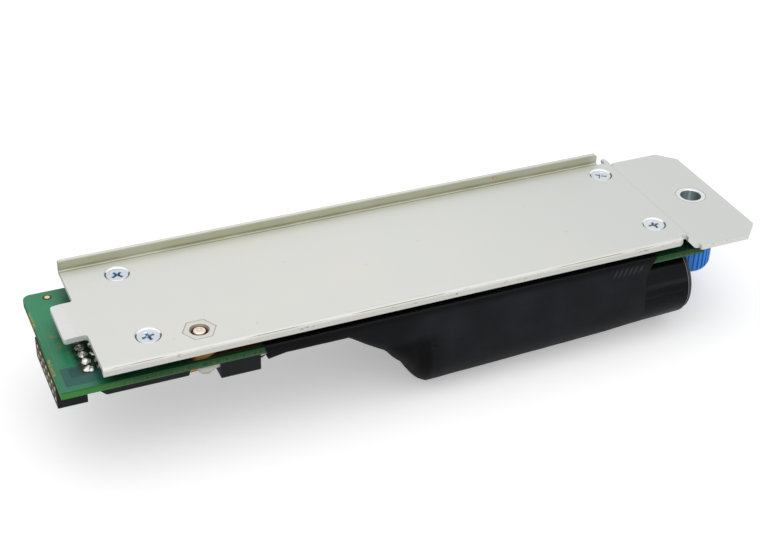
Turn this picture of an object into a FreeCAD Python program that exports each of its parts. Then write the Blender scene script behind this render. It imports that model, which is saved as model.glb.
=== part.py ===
import FreeCAD, Part
import math
import os
import Sketcher

Vector = FreeCAD.Vector
doc = FreeCAD.newDocument("raid_battery_module")

# Driving dimensions in millimetres: name, size and what it measures.
DIMENSIONS = (
    ("sheet_thickness", 1.2, "zinc plated steel sheet of the carrier"),
    ("plate_width", 38.2, "carrier over its lip and its flange"),
    ("lip_drop", 2.0, "lower edge of the near lip under the plate's top"),
    ("lip_setback", 1.9, "end of the near lip back from the step"),
    ("lip_bend", 1.0, "outer bend radius of the near lip"),
    ("lip_corner", 0.7, "rounded end of the near lip"),
    ("flange_rise", 2.2, "far flange over the plate's top"),
    ("flange_setback", 3.1, "end of the far flange back from the step"),
    ("flange_corner", 0.5, "rounded end of the far flange"),
    ("notch_width", 2.0, "bend relief in the far edge"),
    ("notch_depth", 2.0, "depth of that relief"),
    ("relief_width", 1.35, "bend relief in the near edge"),
    ("relief_margin", 0.15, "depth of that relief past the bend"),
    ("bend_radius", 0.4, "inner radius of the bends across the sheet"),
    ("joggle_drop", 2.4, "step from the plate down to the tab"),
    ("joggle_run", 2.3, "length of that step"),
    ("tab_length", 17.0, "screw tab along the module"),
    ("tab_margin", 1.05, "screw tab past both long edges of the plate"),
    ("tab_chamfer", 4.0, "cut corners of the tab's free end"),
    ("tongue_reach", 4.8, "tongue at the connector end"),
    ("tongue_width", 12.5, "tongue across the module"),
    ("tongue_shift", -0.5, "middle of the tongue from the middle of the plate"),
    ("tongue_flat", 2.5, "flat stretch of the tongue before it bends down"),
    ("tongue_dip", 0.2, "tip of the tongue under the plate's top"),
    ("tongue_corner", 0.7, "rounded tips of the tongue"),
    ("tongue_root", 0.7, "rounded roots of the tongue"),
    ("screw_inset", 11.3, "first screws from the plate's left edge"),
    ("screw_end", 4.8, "last screws from the step"),
    ("screw_margin", 7.1, "plate screws from the long edges, on average"),
    ("screw_shift", 0.7, "middle of the screws from the middle of the plate"),
    ("screw_head", 4.8, "flat head diameter"),
    ("head_sink", 0.25, "flat heads under the plate's top"),
    ("head_edge", 0.1, "straight rim of the flat head"),
    ("thread_edge", 0.3, "bevelled start of a thread or a bore"),
    ("screw_thread", 3.0, "thread diameter of all machine screws"),
    ("screw_length", 5.4, "flat head screw from its top to its end"),
    ("recess_width", 0.8, "arm of the cross recess"),
    ("recess_span", 2.7, "cross recess from tip to tip"),
    ("recess_depth", 1.0, "depth of the cross recess"),
    ("thread_clearance", 0.02, "play between a thread and its bore"),
    ("hole_clearance", 0.1, "play round heads and swaged shanks"),
    ("spacer_height", 2.9, "gap between the board and the plate"),
    ("spacer_diameter", 4.8, "threaded spacer"),
    ("spacer_shank", 4.0, "shank of the spacer swaged into the board"),
    ("standoff_inset", 21.4, "hexagonal standoff from the plate's left edge"),
    ("standoff_margin", 5.9, "hexagonal standoff from the near edge of the plate"),
    ("standoff_flats", 6.4, "hexagonal standoff across its flats"),
    ("standoff_bore", 3.3, "bore of the standoff"),
    ("standoff_bevel", 0.45, "bevelled mouth of that bore"),
    ("pan_head", 5.2, "pan head under the standoff, diameter"),
    ("pan_height", 1.6, "pan head, height"),
    ("pan_edge", 0.6, "bevelled edge of the pan head"),
    ("screw_recess", 0.1, "domed screw end under the plate's top"),
    ("board_reach", 8.5, "board past the plate's left edge"),
    ("board_end", 4.8, "board past the step, under the tab"),
    ("board_near_gap", 0.7, "board back from the plate's near edge"),
    ("board_far_gap", 1.6, "board back from the plate's far edge"),
    ("board_thickness", 1.6, "circuit board"),
    ("board_corner", 1.8, "rounded far corner of the board"),
    ("pad_thickness", 0.05, "plated pads"),
    ("fiducial_diameter", 1.6, "round alignment mark"),
    ("fiducial_inset_x", 5.0, "mark from the board's left edge"),
    ("fiducial_inset_y", 2.3, "mark from the board's far edge"),
    ("ground_pad", 8.0, "pad under the hexagonal standoff"),
    ("connector_proud", 0.25, "connector face past the board's left edge"),
    ("connector_depth", 6.15, "connector housing along the module"),
    ("housing_wall", 0.56, "connector housing beside its outer contacts"),
    ("connector_height", 5.0, "connector housing under the board"),
    ("connector_shift", -5.1, "middle of the connector from the middle of the plate"),
    ("contact_step", 2.54, "contacts, both ways"),
    ("contact_columns", 7, "contacts in a row"),
    ("contact_size", 0.5, "square wire of a contact"),
    ("contact_recess", 0.4, "contacts back from the connector face"),
    ("cavity_size", 1.5, "square mouth of a contact cavity"),
    ("cavity_depth", 4.6, "depth of a contact cavity"),
    ("upper_row", 1.25, "upper contacts under the board"),
    ("tail_gap", 1.1, "first contact tails behind the housing"),
    ("tail_rise", 0.9, "contact tails over the board"),
    ("tail_bore", 1.0, "plated holes of the tails"),
    ("solder_radius", 0.95, "foot of a solder joint"),
    ("solder_height", 0.75, "height of a solder joint"),
    ("strip_length", 18.9, "black foam strip under the near edge"),
    ("strip_width", 4.9, "foam strip across the module"),
    ("strip_thickness", 1.7, "foam strip"),
    ("strip_inset", -1.2, "foam strip from the plate's left edge"),
    ("edge_gap", 0.3, "small parts back from the board's near edge"),
    ("plug_inset", 24.1, "battery plug from the plate's left edge"),
    ("plug_length", 8.6, "battery plug along the module"),
    ("plug_width", 5.2, "battery plug across the module"),
    ("plug_height", 4.3, "battery plug under the board"),
    ("plug_corner", 0.6, "rounded edges of the battery plug"),
    ("lead_diameter", 1.15, "insulated battery leads"),
    ("lead_entry", 1.2, "how far a lead sits in the plug"),
    ("lead_drop", 0.18, "upper lead under the board at the plug"),
    ("lead_gap", 0.05, "gap between the two leads"),
    ("lead_step", 0.8, "lower lead behind the upper lead at the plug"),
    ("lead_straight", 0.8, "straight start of the leads at the plug"),
    ("lead_level", 1.6, "from where the leads lie level to the neck"),
    ("lead_turn_down", 3.6, "from the neck to where the leads turn down"),
    ("lead_ceiling", 0.05, "leads under the board in the neck"),
    ("lead_inset", 2.5, "near lead from the board's near edge in the neck"),
    ("lead_spread", 1.4, "between the two leads in the neck"),
    ("lead_drift", 0.7, "how far both leads drift across in the first half of the neck"),
    ("lead_turn", 2.2, "near lead across from there to the end of the neck"),
    ("lead_cross", 7.4, "far lead across from the board's near edge, past the near lead"),
    ("lead_fan", 11.0, "from the neck to the bends in front of the cells"),
    ("end_diameter", 1.3, "tinned end of the board lead"),
    ("end_length", 1.6, "tinned end of the board lead"),
    ("board_lead_length", 4.8, "sleeved stretch of the board lead"),
    ("board_lead_diameter", 1.5, "sleeved board lead"),
    ("tape_inset", 17.6, "amber tape from the plate's left edge"),
    ("tape_margin", 0.8, "amber tape from the board's near edge"),
    ("tape_length", 15.2, "amber tape along the module"),
    ("tape_width", 12.0, "amber tape across the module"),
    ("tape_thickness", 0.1, "amber tape"),
    ("tape_window", 8.2, "round window of the tape round the standoff"),
    ("cell_length", 65.0, "battery cell with its wrap"),
    ("wrap_radius", 9.25, "battery cell over its wrap"),
    ("wrap_thickness", 0.15, "printed free plastic wrap of a cell"),
    ("wrap_lip", 2.2, "how far the wrap folds over the cell's ends"),
    ("end_dip", 0.6, "seal round the button under the can's rim"),
    ("end_rim", 2.0, "crimped rim of the can at the button"),
    ("groove_width", 1.2, "crimp groove"),
    ("cell_edge", 0.9, "rounded edge of the cell's can"),
    ("button_diameter", 6.0, "positive button of a cell"),
    ("groove_inset", 3.2, "crimp groove from the positive end"),
    ("groove_depth", 0.7, "crimp groove"),
    ("cell_play", 0.1, "gap between the two cells"),
    ("cell_shift", -0.9, "middle of the cell pair from the middle of the plate"),
    ("cell_gap_left", 2.55, "board over the cells at their left end"),
    ("cell_gap_right", 0.55, "board over the cells at their right end"),
    ("cell_lead_in", 0.2, "cells past the end of the sleeve's flare"),
    ("cell_overhang", 2.0, "cells past the step of the carrier"),
    ("link_thickness", 0.2, "welded nickel strips"),
    ("link_width", 6.0, "welded nickel strips"),
    ("tab_strip", 4.0, "tabs of the leads"),
    ("insulator_thickness", 0.5, "board over the right cell ends"),
    ("insulator_radius", 8.7, "rounded ends of that board"),
    ("foam_inset", 3.0, "foam pads from the ends of the cells"),
    ("foam_length", 12.0, "foam pads along the cells"),
    ("foam_margin", 4.0, "foam pads back from the outer sides of the cells"),
    ("foam_sink", 1.0, "foam pads under the cells' top"),
    ("film_wall", 0.3, "shrink sleeve"),
    ("film_slack", 0.15, "play between the sleeve and what it wraps"),
    ("film_corner", 0.6, "sleeve's corners over the board's edges"),
    ("neck_corner", 2.3, "sleeve's lower corners in the neck"),
    ("sleeve_inset", 33.3, "sleeve from the plate's left edge"),
    ("mouth_length", 4.8, "wider mouth of the sleeve"),
    ("mouth_depth", 2.9, "inside of the sleeve under the board at the mouth"),
    ("neck_length", 14.0, "narrow neck of the sleeve"),
    ("neck_depth", 1.25, "inside of the sleeve under the board in the neck"),
    ("flare_length", 19.4, "flare from the neck to the cells"),
    ("flare_power", 1.15, "how the flare drops"),
    ("flare_late", 0.15, "share of that drop that comes late"),
    ("bare_length", 11.8, "cells that show past the sleeve"),
    ("grip_tip", 2.0, "extra length of the sleeve at the board"),
    ("grip_slope", 4.0, "where that extra length starts under the board"),
    ("grip_round", 9.0, "rounding of the sleeve's end below the board"),
    ("side_crease", 0.35, "crease in the sleeve's side, as a share of its height"),
    ("captive_inset", 6.6, "captive screw from the tab's free end"),
    ("ferrule_diameter", 7.2, "ferrule in the tab"),
    ("ferrule_bore", 4.8, "bore of the ferrule"),
    ("bore_edge", 0.2, "bevelled mouth of that bore"),
    ("ferrule_flange", 9.4, "flange of the ferrule under the tab"),
    ("flange_thickness", 0.8, "that flange"),
    ("barrel_diameter", 6.8, "barrel of the ferrule"),
    ("barrel_length", 6.2, "barrel under its flange"),
    ("barrel_lip", 1.0, "inward lip at the barrel's end"),
    ("captive_thread", 4.0, "thread of the captive screw"),
    ("captive_shank", 3.3, "shank of the captive screw"),
    ("captive_recess", 3.3, "tip of the captive screw under the tab's top"),
    ("collar_height", 1.4, "collar that keeps the screw captive"),
    ("tip_edge", 0.6, "bevelled tip of the captive screw"),
    ("slide_play", 0.05, "running clearance of the captive screw"),
    ("seat_play", 0.05, "collar over its lip, and washer under its spring"),
    ("washer_diameter", 9.8, "thrust washer under the spring"),
    ("washer_thickness", 0.5, "thrust washer"),
    ("spring_radius", 4.0, "mean radius of the return spring"),
    ("spring_wire", 0.5, "wire of the return spring"),
    ("spring_coils", 5, "turns of the return spring"),
    ("knob_diameter", 13.5, "thumb knob over its ribs"),
    ("knob_height", 9.5, "thumb knob"),
    ("knob_drop", 16.9, "underside of the knob beneath the tab"),
    ("knob_wall", 1.35, "skirt of the knob"),
    ("knob_floor", 3.0, "solid end of the knob"),
    ("knob_round", 1.2, "rounded lower edge of the knob"),
    ("rib_count", 32, "ribs round the knob"),
    ("rib_depth", 0.35, "grooves between the ribs"),
    ("rib_width", 0.6, "grooves between the ribs"),
    ("head_diameter", 6.4, "head of the captive screw inside the knob"),
    ("head_height", 1.8, "that head"),
    ("chip_height", 1.1, "integrated circuits"),
    ("chip_side", 6.0, "charger circuit, square"),
    ("chip_inset", 12.6, "charger circuit from the plate's left edge"),
    ("chip_shift", 2.2, "charger circuit from the middle of the plate"),
    ("gauge_length", 5.0, "gauge circuit"),
    ("gauge_width", 4.4, "gauge circuit"),
    ("gauge_shift", -6.6, "gauge circuit from the middle of the plate"),
    ("coil_side", 6.6, "power inductor, square"),
    ("coil_height", 2.8, "power inductor"),
    ("coil_inset", 14.0, "power inductor from the plate's left edge"),
    ("coil_shift", 2.0, "power inductor from the middle of the plate"),
    ("switch_length", 4.9, "power transistors"),
    ("switch_width", 3.9, "power transistors"),
    ("switch_shift", 10.4, "power transistors from the middle of the plate"),
    ("switch_step", 5.9, "power transistors in a row"),
    ("chip_part_length", 2.0, "small capacitors and resistors"),
    ("chip_part_width", 1.25, "small capacitors and resistors"),
    ("capacitor_height", 1.0, "small capacitors"),
    ("resistor_height", 0.5, "small resistors"),
    ("part_step", 3.2, "small capacitors and resistors in a row"),
    ("part_gap", 1.1, "small capacitors and resistors in front of the sleeve"),
    ("part_count", 4, "small capacitors and resistors in a row"),
    ("capacitor_shift", 9.4, "small capacitors from the middle of the plate"),
    ("resistor_shift", 12.4, "small resistors from the middle of the plate"),
    ("thermistor_diameter", 1.6, "temperature bead between the cells"),
    ("thermistor_length", 4.0, "temperature bead"),
    ("thermistor_gap", 4.0, "temperature bead from the left foam pad"),
    ("thermistor_round", 0.4, "bevelled ends of the temperature bead"),
)

dim = doc.addObject("Spreadsheet::Sheet", "dim")
for row, (alias, size, meaning) in enumerate(DIMENSIONS, 1):
    dim.set(f"A{row}", meaning)
    dim.set(f"B{row}", str(size))
    dim.setAlias(f"B{row}", alias)
doc.recompute()

# Stations worked out from the driving dimensions: x runs along the module towards the tab, y away
# from the lip, z up from the surface that the module rests on. The origin is under the middle.
STATIONS = (
    ("board_bottom", "dim.film_wall + dim.film_slack + 2 * dim.wrap_radius + dim.cell_gap_left"),
    ("board_top", "place.board_bottom + dim.board_thickness"),
    ("plate_bottom", "place.board_top + dim.spacer_height"),
    ("plate_top", "place.plate_bottom + dim.sheet_thickness"),
    ("tab_top", "place.plate_top - dim.joggle_drop"),
    ("tab_bottom", "place.tab_top - dim.sheet_thickness"),
    ("knob_overhang", "max(0; dim.knob_diameter / 2 - dim.captive_inset)"),
    ("sleeve_slope", "dim.mouth_length + dim.neck_length + dim.flare_length"),
    ("cell_inset", "dim.sleeve_inset + place.sleeve_slope + dim.cell_lead_in"),
    ("plate_length", "place.cell_inset + dim.cell_length - dim.cell_overhang"),
    ("face_reach", "dim.board_reach + dim.connector_proud"),
    ("span", "place.face_reach + place.plate_length + dim.joggle_run + dim.tab_length"),
    ("plate_left", "place.face_reach - (place.span + place.knob_overhang) / 2"),
    ("plate_right", "place.plate_left + place.plate_length"),
    ("tab_left", "place.plate_right + dim.joggle_run"),
    ("tab_right", "place.tab_left + dim.tab_length"),
    ("plate_near", "-dim.plate_width / 2"),
    ("plate_far", "dim.plate_width / 2"),
    ("lip_end", "place.plate_right - dim.lip_setback"),
    ("flange_end", "place.plate_right - dim.flange_setback"),
    ("tab_near", "place.plate_near - dim.tab_margin"),
    ("tab_far", "place.plate_far + dim.tab_margin"),
    ("board_left", "place.plate_left - dim.board_reach"),
    ("board_right", "place.plate_right + dim.board_end"),
    ("board_near", "place.plate_near + dim.board_near_gap"),
    ("board_far", "place.plate_far - dim.board_far_gap"),
    ("screw_left", "place.plate_left + dim.screw_inset"),
    ("screw_run", "place.plate_length - dim.screw_inset - dim.screw_end"),
    ("screw_spread", "dim.plate_width - 2 * dim.screw_margin"),
    ("screw_near", "dim.screw_shift - place.screw_spread / 2"),
    ("standoff_y", "place.plate_near + dim.standoff_margin"),
    ("standoff_x", "place.plate_left + dim.standoff_inset"),
    ("connector_left", "place.board_left - dim.connector_proud"),
    ("connector_back", "place.connector_left + dim.connector_depth"),
    ("connector_bottom", "place.board_bottom - dim.connector_height"),
    ("connector_width", "dim.contact_columns * dim.contact_step + 2 * dim.housing_wall"),
    ("column_near", "dim.connector_shift - (dim.contact_columns - 1) * dim.contact_step / 2"),
    ("row_upper", "place.board_bottom - dim.upper_row"),
    ("row_lower", "place.row_upper - dim.contact_step"),
    ("tail_first", "place.connector_back + dim.tail_gap"),
    ("tail_second", "place.tail_first + dim.contact_step"),
    ("plug_left", "place.plate_left + dim.plug_inset"),
    ("plug_right", "place.plug_left + dim.plug_length"),
    ("plug_near", "place.board_near + dim.edge_gap"),
    ("sleeve_left", "place.plate_left + dim.sleeve_inset"),
    ("neck_left", "place.sleeve_left + dim.mouth_length"),
    ("neck_right", "place.neck_left + dim.neck_length"),
    ("flare_right", "place.neck_right + dim.flare_length"),
    ("cell_left", "place.flare_right + dim.cell_lead_in"),
    ("sleeve_right", "place.cell_left + dim.cell_length - dim.bare_length"),
    ("sleeve_tip", "place.sleeve_right + dim.grip_tip"),
    ("cell_near", "dim.cell_shift - dim.wrap_radius - dim.cell_play / 2"),
    ("cell_far", "dim.cell_shift + dim.wrap_radius + dim.cell_play / 2"),
    ("cell_height", "place.board_bottom - dim.cell_gap_left - dim.wrap_radius"),
    ("cell_tilt", "asin((dim.cell_gap_left - dim.cell_gap_right) / dim.cell_length)"),
    ("captive_x", "place.tab_right - dim.captive_inset"),
    ("flange_bottom", "place.tab_bottom - dim.flange_thickness"),
    ("barrel_bottom", "place.flange_bottom - dim.barrel_length"),
    ("knob_bottom", "place.tab_bottom - dim.knob_drop"),
    ("knob_inside", "place.knob_bottom + dim.knob_floor"),
    ("washer_top", "place.knob_inside + dim.washer_thickness"),
)

place = doc.addObject("App::FeaturePython", "place")
for station, formula in STATIONS:
    place.addProperty("App::PropertyFloat", station)
    place.setExpression(station, formula)
    place.recompute()
doc.recompute()


def value(formula):
    """Works out a formula over the sizes and the stations."""
    return float(place.evalExpression(str(formula)))


def runs_along(axis):
    """Picks straight edges that run along an axis, "X", "Y" or "Z"."""
    direction = {"X": Vector(1, 0, 0), "Y": Vector(0, 1, 0), "Z": Vector(0, 0, 1)}[axis]

    def test(edge):
        if edge.Curve.TypeId != "Part::GeomLine":
            return False
        return abs(edge.Curve.Direction.dot(direction)) > 0.999
    return test


def lies_at(x=None, y=None, z=None, reach=0.02):
    """Picks edges whose middle lies at the given coordinates."""
    def test(edge):
        middle = edge.CenterOfMass
        wanted = ((middle.x, x), (middle.y, y), (middle.z, z))
        return all(here is None or abs(at - value(here)) < reach for at, here in wanted)
    return test


def longer_than(size):
    """Picks edges longer than a size."""
    return lambda edge: edge.Length > value(size)


class Piece:
    """One body of the module, with short calls for its sketches and features."""

    LOW_SIDE = {"XY_Plane": 1, "YZ_Plane": 1, "XZ_Plane": -1}

    def __init__(self, name):
        self.body = doc.addObject("PartDesign::Body", name)
        self.roles = {part.Role: part for part in self.body.Origin.OriginFeatures}
        self.name = name
        self.count = 0

    def label(self, kind):
        self.count += 1
        return f"{self.name}_{kind}_{self.count}"

    def sketch(self, plane, level, shift_u="0", shift_v="0"):
        """Starts a sketch on a plane, at its level, with its own origin moved in the plane."""
        sketch = self.body.newObject("Sketcher::SketchObject", self.label("sketch"))
        sketch.AttachmentSupport = [(self.roles[plane], "")]
        sketch.MapMode = "FlatFace"
        sketch.setExpression("AttachmentOffset.Base.x", shift_u)
        sketch.setExpression("AttachmentOffset.Base.y", shift_v)
        sign = "" if self.LOW_SIDE[plane] > 0 else "-"
        sketch.setExpression("AttachmentOffset.Base.z", f"{sign}({level})")
        return sketch

    def finish(self, feature):
        self.body.Tip = feature
        doc.recompute()
        return feature

    def pad(self, plane, level, length, *loops):
        """Raises closed loops from a level towards the positive side."""
        sketch = self.sketch(plane, level)
        for loop in loops:
            draw(sketch, loop)
        feature = self.body.newObject("PartDesign::Pad", self.label("pad"))
        feature.Profile = sketch
        feature.setExpression("Length", length)
        feature.Reversed = self.LOW_SIDE[plane] < 0
        return self.finish(feature)

    def cut(self, plane, level, length, *loops, rounded=False):
        """Cuts closed loops from a level towards the positive side, and tests that it cut."""
        before = self.body.Shape.Volume
        sketch = self.sketch(plane, level)
        for loop in loops:
            if rounded:
                draw_rounded(sketch, loop)
            else:
                draw(sketch, loop)
        feature = self.body.newObject("PartDesign::Pocket", self.label("pocket"))
        feature.Profile = sketch
        feature.setExpression("Length", length)
        feature.Reversed = self.LOW_SIDE[plane] > 0
        self.finish(feature)
        if self.body.Shape.Volume > before - 1e-6:
            raise RuntimeError(f"{feature.Name} cut nothing")
        return feature

    def turn(self, x, y, loop, remove=False):
        """Turns a half profile of radius and height about an upright axis at x, y."""
        sketch = self.sketch("XZ_Plane", y, shift_u=x)
        draw(sketch, loop)
        kind = "PartDesign::Groove" if remove else "PartDesign::Revolution"
        feature = self.body.newObject(kind, self.label("turn"))
        feature.Profile = sketch
        feature.ReferenceAxis = (sketch, ["V_Axis"])
        feature.Angle = 360
        return self.finish(feature)

    def loft(self, sections, remove=False):
        """Joins section sketches smoothly."""
        kind = "PartDesign::SubtractiveLoft" if remove else "PartDesign::AdditiveLoft"
        feature = self.body.newObject(kind, self.label("loft"))
        feature.Profile = sections[0]
        feature.Sections = sections[1:]
        feature.Ruled = len(sections) == 2
        return self.finish(feature)

    def repeat(self, features, *steps):
        """Repeats features in one or two rows, each given as axis, spacing and count."""
        feature = self.body.newObject("PartDesign::LinearPattern", self.label("pattern"))
        feature.Originals = list(features)
        for suffix, (axis, spacing, count) in zip(("", "2"), steps):
            setattr(feature, "Mode" + suffix, "Extent")
            setattr(feature, "Direction" + suffix, (self.roles[axis + "_Axis"], [""]))
            feature.setExpression("Length" + suffix, f"({spacing}) * ({count} - 1)")
            feature.setExpression("Occurrences" + suffix, count)
        return self.finish(feature)

    def soften(self, kind, size, *tests):
        """Rounds or bevels every edge of the body that passes all the tests."""
        names = []
        for index, edge in enumerate(self.body.Shape.Edges, 1):
            if all(test(edge) for test in tests):
                names.append(f"Edge{index}")
        if not names:
            raise RuntimeError(f"no edge to soften on {self.name}")
        base = self.body.Tip
        feature = self.body.newObject(f"PartDesign::{kind}", self.label(kind.lower()))
        feature.Base = (base, names)
        feature.setExpression("Radius" if kind == "Fillet" else "Size", size)
        return self.finish(feature)


def hold_point(sketch, geometry, corner, u, v):
    """Ties a point of a sketch to its formulas."""
    for kind, formula in (("DistanceX", u), ("DistanceY", v)):
        constraint = Sketcher.Constraint(kind, -1, 1, geometry, corner, value(formula))
        index = sketch.addConstraint(constraint)
        sketch.setExpression(f"Constraints[{index}]", str(formula))


def draw(sketch, loop):
    """Draws a circle, given as a dictionary, or a closed line through corners."""
    if isinstance(loop, dict):
        centre = Vector(value(loop["u"]), value(loop["v"]), 0)
        radius = value(loop["radius"])
        circle = sketch.addGeometry(Part.Circle(centre, Vector(0, 0, 1), radius))
        hold_point(sketch, circle, 3, loop["u"], loop["v"])
        index = sketch.addConstraint(Sketcher.Constraint("Radius", circle, radius))
        sketch.setExpression(f"Constraints[{index}]", str(loop["radius"]))
        return
    spots = [Vector(value(u), value(v), 0) for u, v in loop]
    lines = []
    for index, spot in enumerate(spots):
        following = spots[(index + 1) % len(spots)]
        lines.append(sketch.addGeometry(Part.LineSegment(spot, following)))
    for index, line in enumerate(lines):
        following = lines[(index + 1) % len(lines)]
        sketch.addConstraint(Sketcher.Constraint("Coincident", line, 2, following, 1))
    for line, (u, v) in zip(lines, loop):
        hold_point(sketch, line, 1, u, v)


def draw_rounded(sketch, corners):
    """Draws a closed line through corners of u, v and radius, with tangent arcs where it isn't 0."""
    spots = [Vector(value(u), value(v), 0) for u, v, _ in corners]
    ends = []
    for index, (_, _, radius) in enumerate(corners):
        spot = spots[index]
        back = (spots[index - 1] - spot).normalize()
        ahead = (spots[(index + 1) % len(spots)] - spot).normalize()
        size = value(radius)
        half = back.getAngle(ahead) / 2
        start = spot + back * (size / math.tan(half))
        end = spot + ahead * (size / math.tan(half))
        inward = (back + ahead).normalize() if size else back
        middle = spot + inward * (size / math.sin(half) - size)
        ends.append((start, middle, end, size))
    lines = []
    for index, (_, _, end, _) in enumerate(ends):
        start = ends[(index + 1) % len(ends)][0]
        lines.append(sketch.addGeometry(Part.LineSegment(end, start)))
    for index, (start, middle, end, size) in enumerate(ends):
        before, after = lines[index - 1], lines[index]
        u, v, radius = corners[index]
        if not size:
            sketch.addConstraint(Sketcher.Constraint("Coincident", before, 2, after, 1))
            hold_point(sketch, after, 1, u, v)
            continue
        arc = sketch.addGeometry(Part.Arc(start, middle, end))
        starts_here = (sketch.getPoint(arc, 1) - start).Length < 1e-6
        first, last = (1, 2) if starts_here else (2, 1)
        sketch.addConstraint(Sketcher.Constraint("Tangent", before, 2, arc, first))
        sketch.addConstraint(Sketcher.Constraint("Tangent", arc, last, after, 1))
        place_radius = sketch.addConstraint(Sketcher.Constraint("Radius", arc, size))
        sketch.setExpression(f"Constraints[{place_radius}]", str(radius))
        corner = sketch.addGeometry(Part.Point(spots[index]), True)
        sketch.addConstraint(Sketcher.Constraint("PointOnObject", corner, 1, before))
        sketch.addConstraint(Sketcher.Constraint("PointOnObject", corner, 1, after))
        hold_point(sketch, corner, 1, u, v)


def oblong(low_u, low_v, high_u, high_v):
    """Gives the corners of a rectangle."""
    return ((low_u, low_v), (high_u, low_v), (high_u, high_v), (low_u, high_v))


def disc(u, v, radius):
    """Gives a circle."""
    return {"u": u, "v": v, "radius": radius}


def hexagon(u, v, flats):
    """Gives the corners of a hexagon with two corners along the first axis."""
    corners = []
    for step in range(6):
        across = round(math.cos(math.radians(60 * step)), 9)
        up = round(math.sin(math.radians(60 * step)), 9)
        corners.append((f"{u} + {flats} / sqrt(3) * {across}", f"{v} + {flats} / sqrt(3) * {up}"))
    return tuple(corners)


def block(name, x, y, z, length, width, height):
    """Makes a plain box from its low corner and its sides."""
    solid = doc.addObject("Part::Box", name)
    for place_name, formula in (("x", x), ("y", y), ("z", z)):
        solid.setExpression(f"Placement.Base.{place_name}", formula)
    for side, formula in (("Length", length), ("Width", width), ("Height", height)):
        solid.setExpression(side, formula)
    return solid


def route(points, diameter):
    """Sweeps a round lead along straight runs joined by tangent arcs."""
    spots = [Vector(*(value(part) for part in point)) for point in points]
    edges = []
    here = spots[0]
    for before, corner, after in zip(spots, spots[1:], spots[2:]):
        back, ahead = before - corner, after - corner
        trim = 0.45 * min(back.Length, ahead.Length)
        back.normalize()
        ahead.normalize()
        half = back.getAngle(ahead) / 2
        radius = trim * math.tan(half)
        start, end = corner + back * trim, corner + ahead * trim
        middle = corner + (back + ahead).normalize() * (radius / math.sin(half) - radius)
        print(f"  bend of the lead: radius {radius:.1f} mm")
        edges.append(Part.LineSegment(here, start).toShape())
        edges.append(Part.Arc(start, middle, end).toShape())
        here = end
    edges.append(Part.LineSegment(here, spots[-1]).toShape())
    ring = Part.Circle(spots[0], spots[1] - spots[0], diameter / 2).toShape()
    return Part.Wire(edges).makePipeShell([Part.Wire(ring)], True, True)


def plain_feature(name, shape):
    """Keeps a shape made by code as an object of the document."""
    feature = doc.addObject("Part::Feature", name)
    feature.Shape = shape
    return feature


# The folded carrier

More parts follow.
